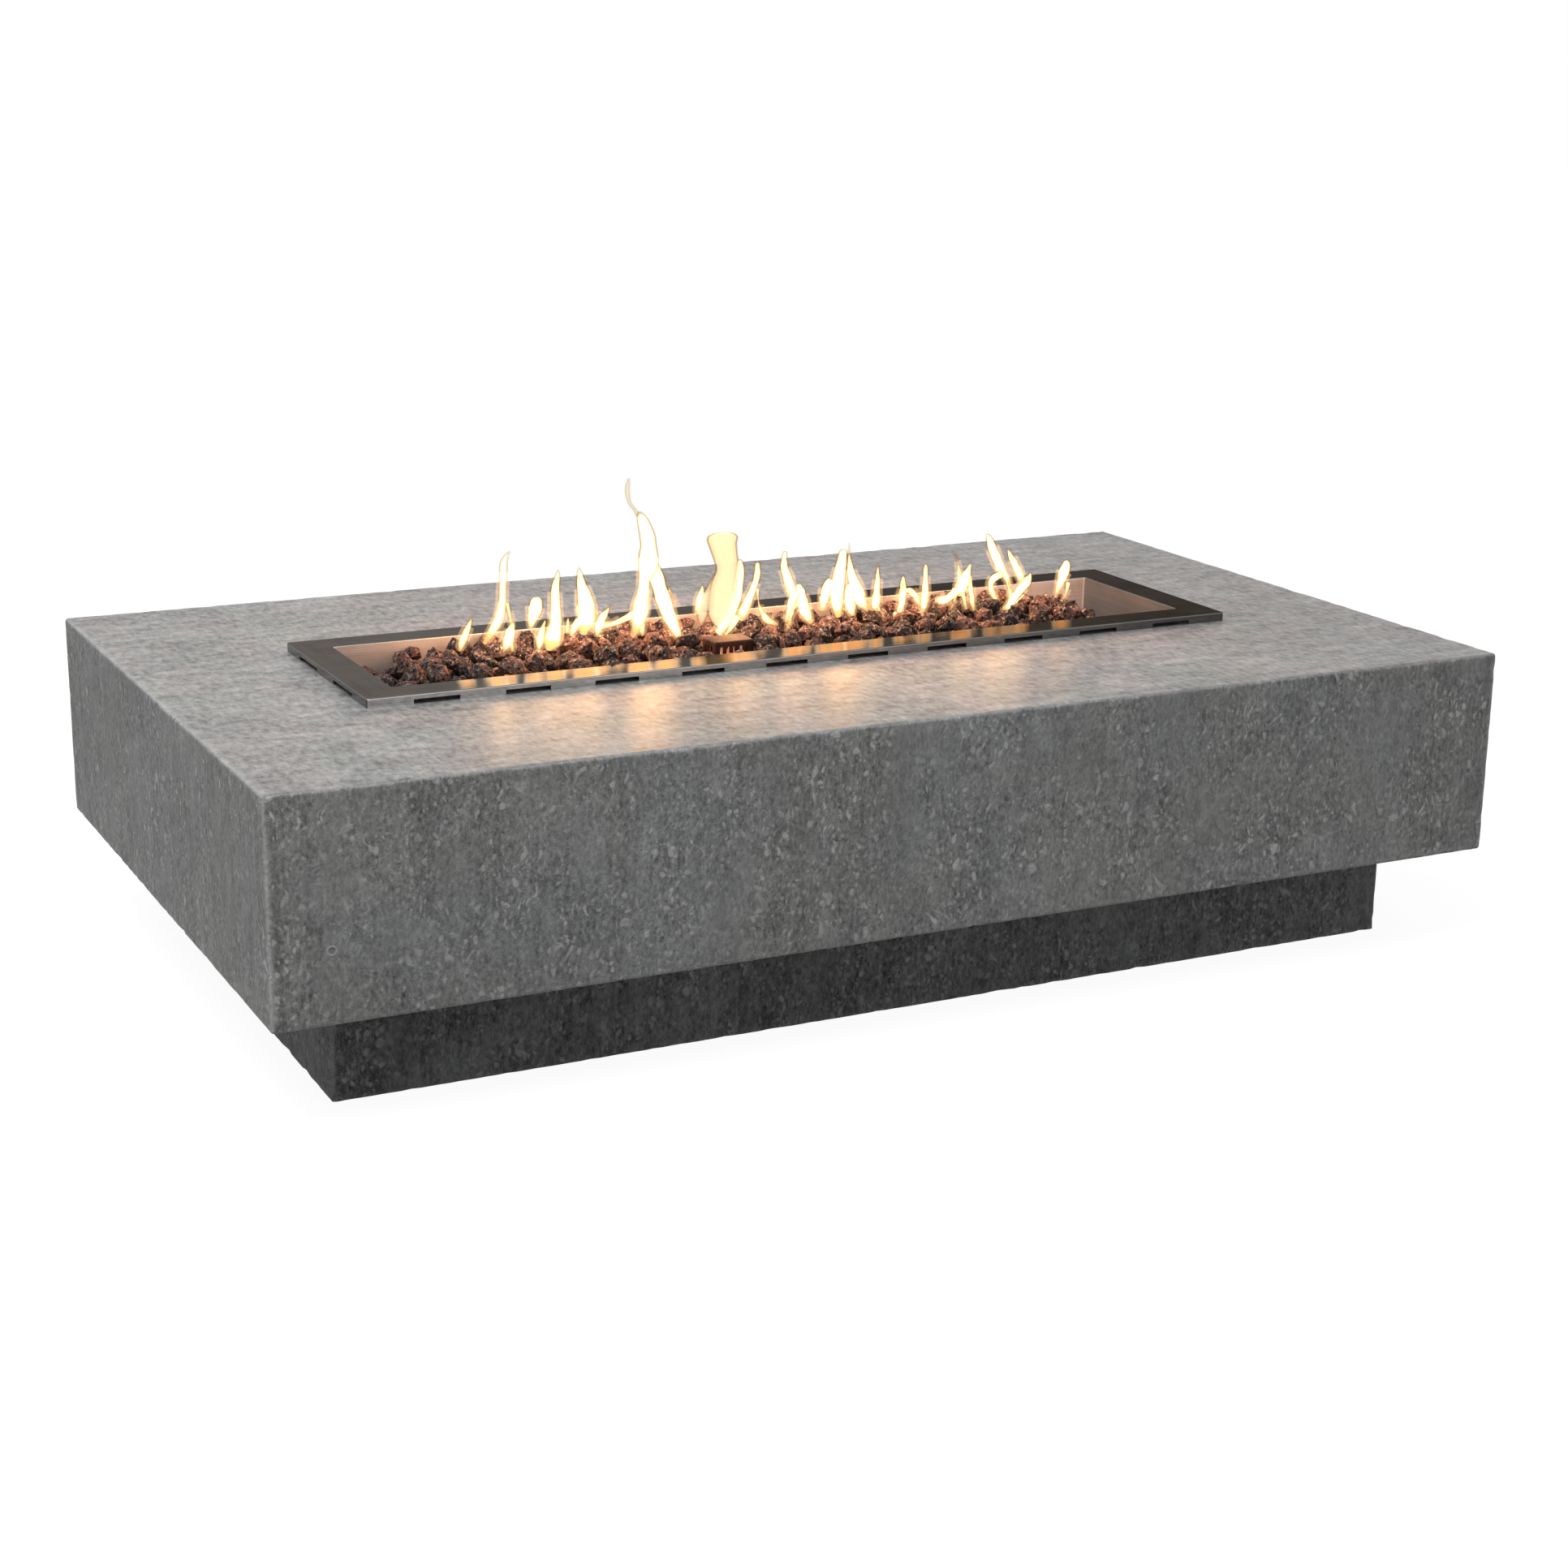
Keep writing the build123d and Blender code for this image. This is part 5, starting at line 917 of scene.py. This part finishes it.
class FIREPIT_OT_light_flames(bpy.types.Operator):
    """Light the flames along the burner, which are burning gas and not a piece of the fire pit"""

    bl_idname = "fire_pit.light_flames"
    bl_label = "Flames"

    def execute(self, context):
        settings = context.scene.fire_pit_flames
        inset = -settings.inset
        self.burn("flame_cores", FLAMES, "core", settings, part=(0.10, 0.97), swell=inset)
        self.burn("flame_pilots", PILOT_FLAMES, "pilot", settings, ahead=settings.pilot_ahead)
        self.burn("flame_thin", THIN_FLAMES, "thin", settings, swell=inset)
        self.burn("flame_feet", FLAMES, "foot", settings, part=(0.0, 0.40), swell=settings.foot)
        self.burn("flame_halos", FLAMES, "halo", settings, part=(0.0, 0.65), swell=settings.halo)
        self.burn("flame_veils", FLAMES + THIN_FLAMES, "veil", settings, swell=settings.veil)
        swept = self.burn("flame_sweeps", FLAMES, "sweep", settings, part=(0.0, 0.70), swell=settings.sweep)
        swept.visible_camera = False
        self.hang_glow(context, settings)
        return {"FINISHED"}

    def burn(self, name, flames, gas, settings, part=(0.0, 1.0), swell=0.0, ahead=0.0):
        """Draws the same part of each flame in one kind of gas, and joins them into one skin."""
        form = bmesh.new()
        for flame in flames:
            mesh = self.draw_flame(flame, settings, part, swell, ahead)
            form.from_mesh(mesh)
            bpy.data.meshes.remove(mesh)
        burning = new_object(form, name, burning_gas("flame_" + gas, *GASES[gas]))
        joined = burning.modifiers.new("one_skin", "REMESH")
        joined.mode = "VOXEL"
        joined.voxel_size = settings.skin
        burning.visible_diffuse = False
        burning.visible_shadow = False
        return burning

    @staticmethod
    def place_along(flame, reached):
        """Where a flame is at a share of its way up, and how wide, on a curve through its stations."""
        last = len(flame) - 1
        station = min(int(reached * last), last - 1)
        past = reached * last - station
        around = (min(max(station + step, 0), last) for step in (-1, 0, 1, 2))
        before, start, end, after = (Vector(flame[number]) for number in around)
        bend = 2 * before - 5 * start + 4 * end - after
        twist = 3 * start - before - 3 * end + after
        doubled = 2 * start + (end - before) * past + bend * past ** 2 + twist * past ** 3
        return doubled / (2 * MILLIMETRES)

    def draw_flame(self, flame, settings, part, swell, ahead):
        """Draws a ball out along a part of a flame."""
        ball = bmesh.new()
        bmesh.ops.create_uvsphere(ball, u_segments=FLAME_SIDES, v_segments=FLAME_RINGS, radius=1.0)
        begin, end = part
        middles = [self.place_along(flame, begin + (end - begin) * step / FLAME_RINGS)
                   for step in range(FLAME_RINGS + 1)]
        own = flame[0][0]
        set_back = settings.scatter * math.sin(SCATTER_TURN * own) - ahead
        for vert in ball.verts:
            ring = round(math.acos(max(-1.0, min(1.0, -vert.co.z))) / math.pi * FLAME_RINGS)
            along, high, wide = middles[ring]
            way = (middles[min(ring + 1, FLAME_RINGS)] - middles[max(ring - 1, 0)]).xy.normalized()
            about = vert.co.xy.normalized() if 0 < ring < FLAME_RINGS else Vector((0.0, 0.0))
            flicker = noise.noise(Vector((own, ring / FLICKER_RINGS, about.x * FLICKER_SIDES)))
            half = max(wide / 2 * (1.0 + FLICKER * flicker) + swell, THINNEST)
            vert.co.x = along + way.y * about.x * half
            vert.co.y = set_back + about.y * half * settings.flatness
            vert.co.z = high - way.x * about.x * half
        mesh = bpy.data.meshes.new("flame")
        ball.to_mesh(mesh)
        ball.free()
        return mesh

    @staticmethod
    def hang_glow(context, settings):
        """Hangs warm lamps in the flames, which light the rocks and the pan as the flames would."""
        span = settings.glow_end - settings.glow_start
        for number in range(GLOW_LAMPS):
            glow = bpy.data.lights.new(f"flame_glow_{number}", "POINT")
            glow.energy = settings.glow_power
            glow.color = settings.glow_colour
            glow.shadow_soft_size = GLOW_RADIUS
            lamp = bpy.data.objects.new(glow.name, glow)
            along = settings.glow_start + span * number / (GLOW_LAMPS - 1)
            lamp.location = (along, 0.0, settings.glow_height)
            lamp.visible_glossy = False
            context.scene.collection.objects.link(lamp)


class FIREPIT_OT_set_stage(bpy.types.Operator):
    """Set up the pale floor, the white room, the soft lamp and the camera"""

    bl_idname = "fire_pit.set_stage"
    bl_label = "Stage"

    def execute(self, context):
        settings = context.scene.fire_pit_stage
        context.scene.view_settings.view_transform = "Standard"
        self.lay_floor(settings)
        self.shade_ground(settings)
        self.light_room(context, settings)
        self.hang_lamp(context, settings)
        self.place_camera(context, settings)
        return {"FINISHED"}

    @staticmethod
    def seen_directly(recipe):
        """1 for what the camera sees, straight or in metal and glass, and 0 for the light on the object."""
        path = recipe.add("LightPath", {}).outputs
        seen = path["Is Camera Ray"]
        for other in ("Is Glossy Ray", "Is Transmission Ray"):
            seen = recipe.add("Math", {0: seen, 1: path[other]}, operation="MAXIMUM").outputs[0]
        return seen

    def lay_floor(self, settings):
        """A pale floor that looks white and keeps the object's shadow."""
        material = bpy.data.materials.new("pale_floor")
        recipe = Recipe(material)
        recipe.nodes.remove(recipe.nodes["Principled BSDF"])
        matt = recipe.add("BsdfDiffuse", {"Color": rgb(settings.floor_colour)})
        seen = self.seen_directly(recipe)
        strength = recipe.add("Math", {0: seen, 1: settings.floor_white}, operation="MULTIPLY")
        white = recipe.add("Emission", {"Strength": strength.outputs[0]})
        both = recipe.add("AddShader", {0: matt.outputs[0], 1: white.outputs[0]})
        recipe.show("Material Output", "Surface", both)
        form = bmesh.new()
        bmesh.ops.create_grid(form, x_segments=1, y_segments=1, size=settings.floor_size)
        new_object(form, "floor", material)

    @staticmethod
    def shade_ground(settings):
        """The ground inside the plinth, which the white floor's glow doesn't reach."""
        shaded = Finish("shaded_ground")
        shaded.surface(Base_Color=rgb(settings.floor_colour, GROUND_SHADE), Roughness=0.9)
        low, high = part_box("plinth")
        form = bmesh.new()
        bmesh.ops.create_grid(form, x_segments=1, y_segments=1, size=1.0)
        inside = Vector((high.x - low.x, high.y - low.y, 2.0)) / 2 - Vector((GROUND_INSET, GROUND_INSET, 0.0))
        bmesh.ops.scale(form, vec=inside, verts=form.verts)
        bmesh.ops.translate(form, vec=(0.0, 0.0, GROUND_LIFT), verts=form.verts)
        new_object(form, "shaded_ground", shaded.material)

    def light_room(self, context, settings):
        """A white room that gives an even, low light."""
        world = bpy.data.worlds.new("white_room")
        context.scene.world = world
        recipe = Recipe(world)
        even = recipe.add("Background", {"Color": rgb(WHITE), "Strength": settings.room_light})
        white = recipe.add("Background", {"Color": rgb(WHITE)})
        inputs = {0: self.seen_directly(recipe), 1: even.outputs[0], 2: white.outputs[0]}
        recipe.show("World Output", "Surface", recipe.add("MixShader", inputs))

    @staticmethod
    def hang_lamp(context, settings):
        """One large soft lamp overhead."""
        light = bpy.data.lights.new("soft_lamp", "AREA")
        light.energy = settings.lamp_power
        light.size = settings.lamp_size
        lamp = bpy.data.objects.new("soft_lamp", light)
        lamp.location = settings.lamp_place
        context.scene.collection.objects.link(lamp)

    @staticmethod
    def place_camera(context, settings):
        """The camera at the photograph's place and angle."""
        bearing = settings.azimuth
        height = settings.elevation
        level = Vector((math.sin(bearing), -math.cos(bearing), 0.0))
        back = level * math.cos(height) + Vector((0.0, 0.0, math.sin(height)))
        right = Vector((0.0, 0.0, 1.0)).cross(back).normalized()
        up = back.cross(right)
        turned = right * math.cos(settings.roll) - up * math.sin(settings.roll)
        upright = back.cross(turned)
        lens = bpy.data.cameras.new("camera")
        lens.sensor_width = SENSOR_WIDTH
        lens.lens = settings.focal_pixels / PHOTO_PIXELS * SENSOR_WIDTH
        lens.clip_end = CLIP_END
        camera = bpy.data.objects.new("camera", lens)
        turn = Matrix((turned, upright, back)).transposed().to_4x4()
        camera.matrix_world = Matrix.Translation(settings.eye) @ turn
        context.scene.collection.objects.link(camera)
        context.scene.camera = camera


class FIREPIT_PT_panel(bpy.types.Panel):
    """Lists the steps that dress the fire pit"""

    bl_idname = "FIREPIT_PT_panel"
    bl_label = "Fire Pit"
    bl_space_type = "VIEW_3D"
    bl_region_type = "UI"
    bl_category = "Fire Pit"

    def draw(self, context):
        for operator in OPERATORS:
            self.layout.operator(operator.bl_idname)


SETTINGS = {
    "fire_pit_concrete": ConcreteSettings,
    "fire_pit_burner": BurnerSettings,
    "fire_pit_rock": RockSettings,
    "fire_pit_fittings": FittingSettings,
    "fire_pit_flames": FlameSettings,
    "fire_pit_stage": StageSettings,
}
OPERATORS = (
    FIREPIT_OT_set_stage,
    FIREPIT_OT_cast_concrete,
    FIREPIT_OT_finish_burner,
    FIREPIT_OT_fill_lava_rock,
    FIREPIT_OT_finish_fittings,
    FIREPIT_OT_light_flames,
)


def register():
    """Registers the settings, the operators and the panel."""
    for name, group in SETTINGS.items():
        bpy.utils.register_class(group)
        setattr(bpy.types.Scene, name, PointerProperty(type=group))
    for operator in OPERATORS:
        bpy.utils.register_class(operator)
    bpy.utils.register_class(FIREPIT_PT_panel)


def unregister():
    """Takes the panel, the operators and the settings out again."""
    bpy.utils.unregister_class(FIREPIT_PT_panel)
    for operator in reversed(OPERATORS):
        bpy.utils.unregister_class(operator)
    for name, group in reversed(SETTINGS.items()):
        delattr(bpy.types.Scene, name)
        bpy.utils.unregister_class(group)


def main():
    """Dresses the fire pit."""
    register()
    bpy.ops.fire_pit.set_stage()
    bpy.ops.fire_pit.cast_concrete()
    bpy.ops.fire_pit.finish_burner()
    bpy.ops.fire_pit.fill_lava_rock()
    bpy.ops.fire_pit.finish_fittings()
    bpy.ops.fire_pit.light_flames()


if __name__ == "__main__":
    main()
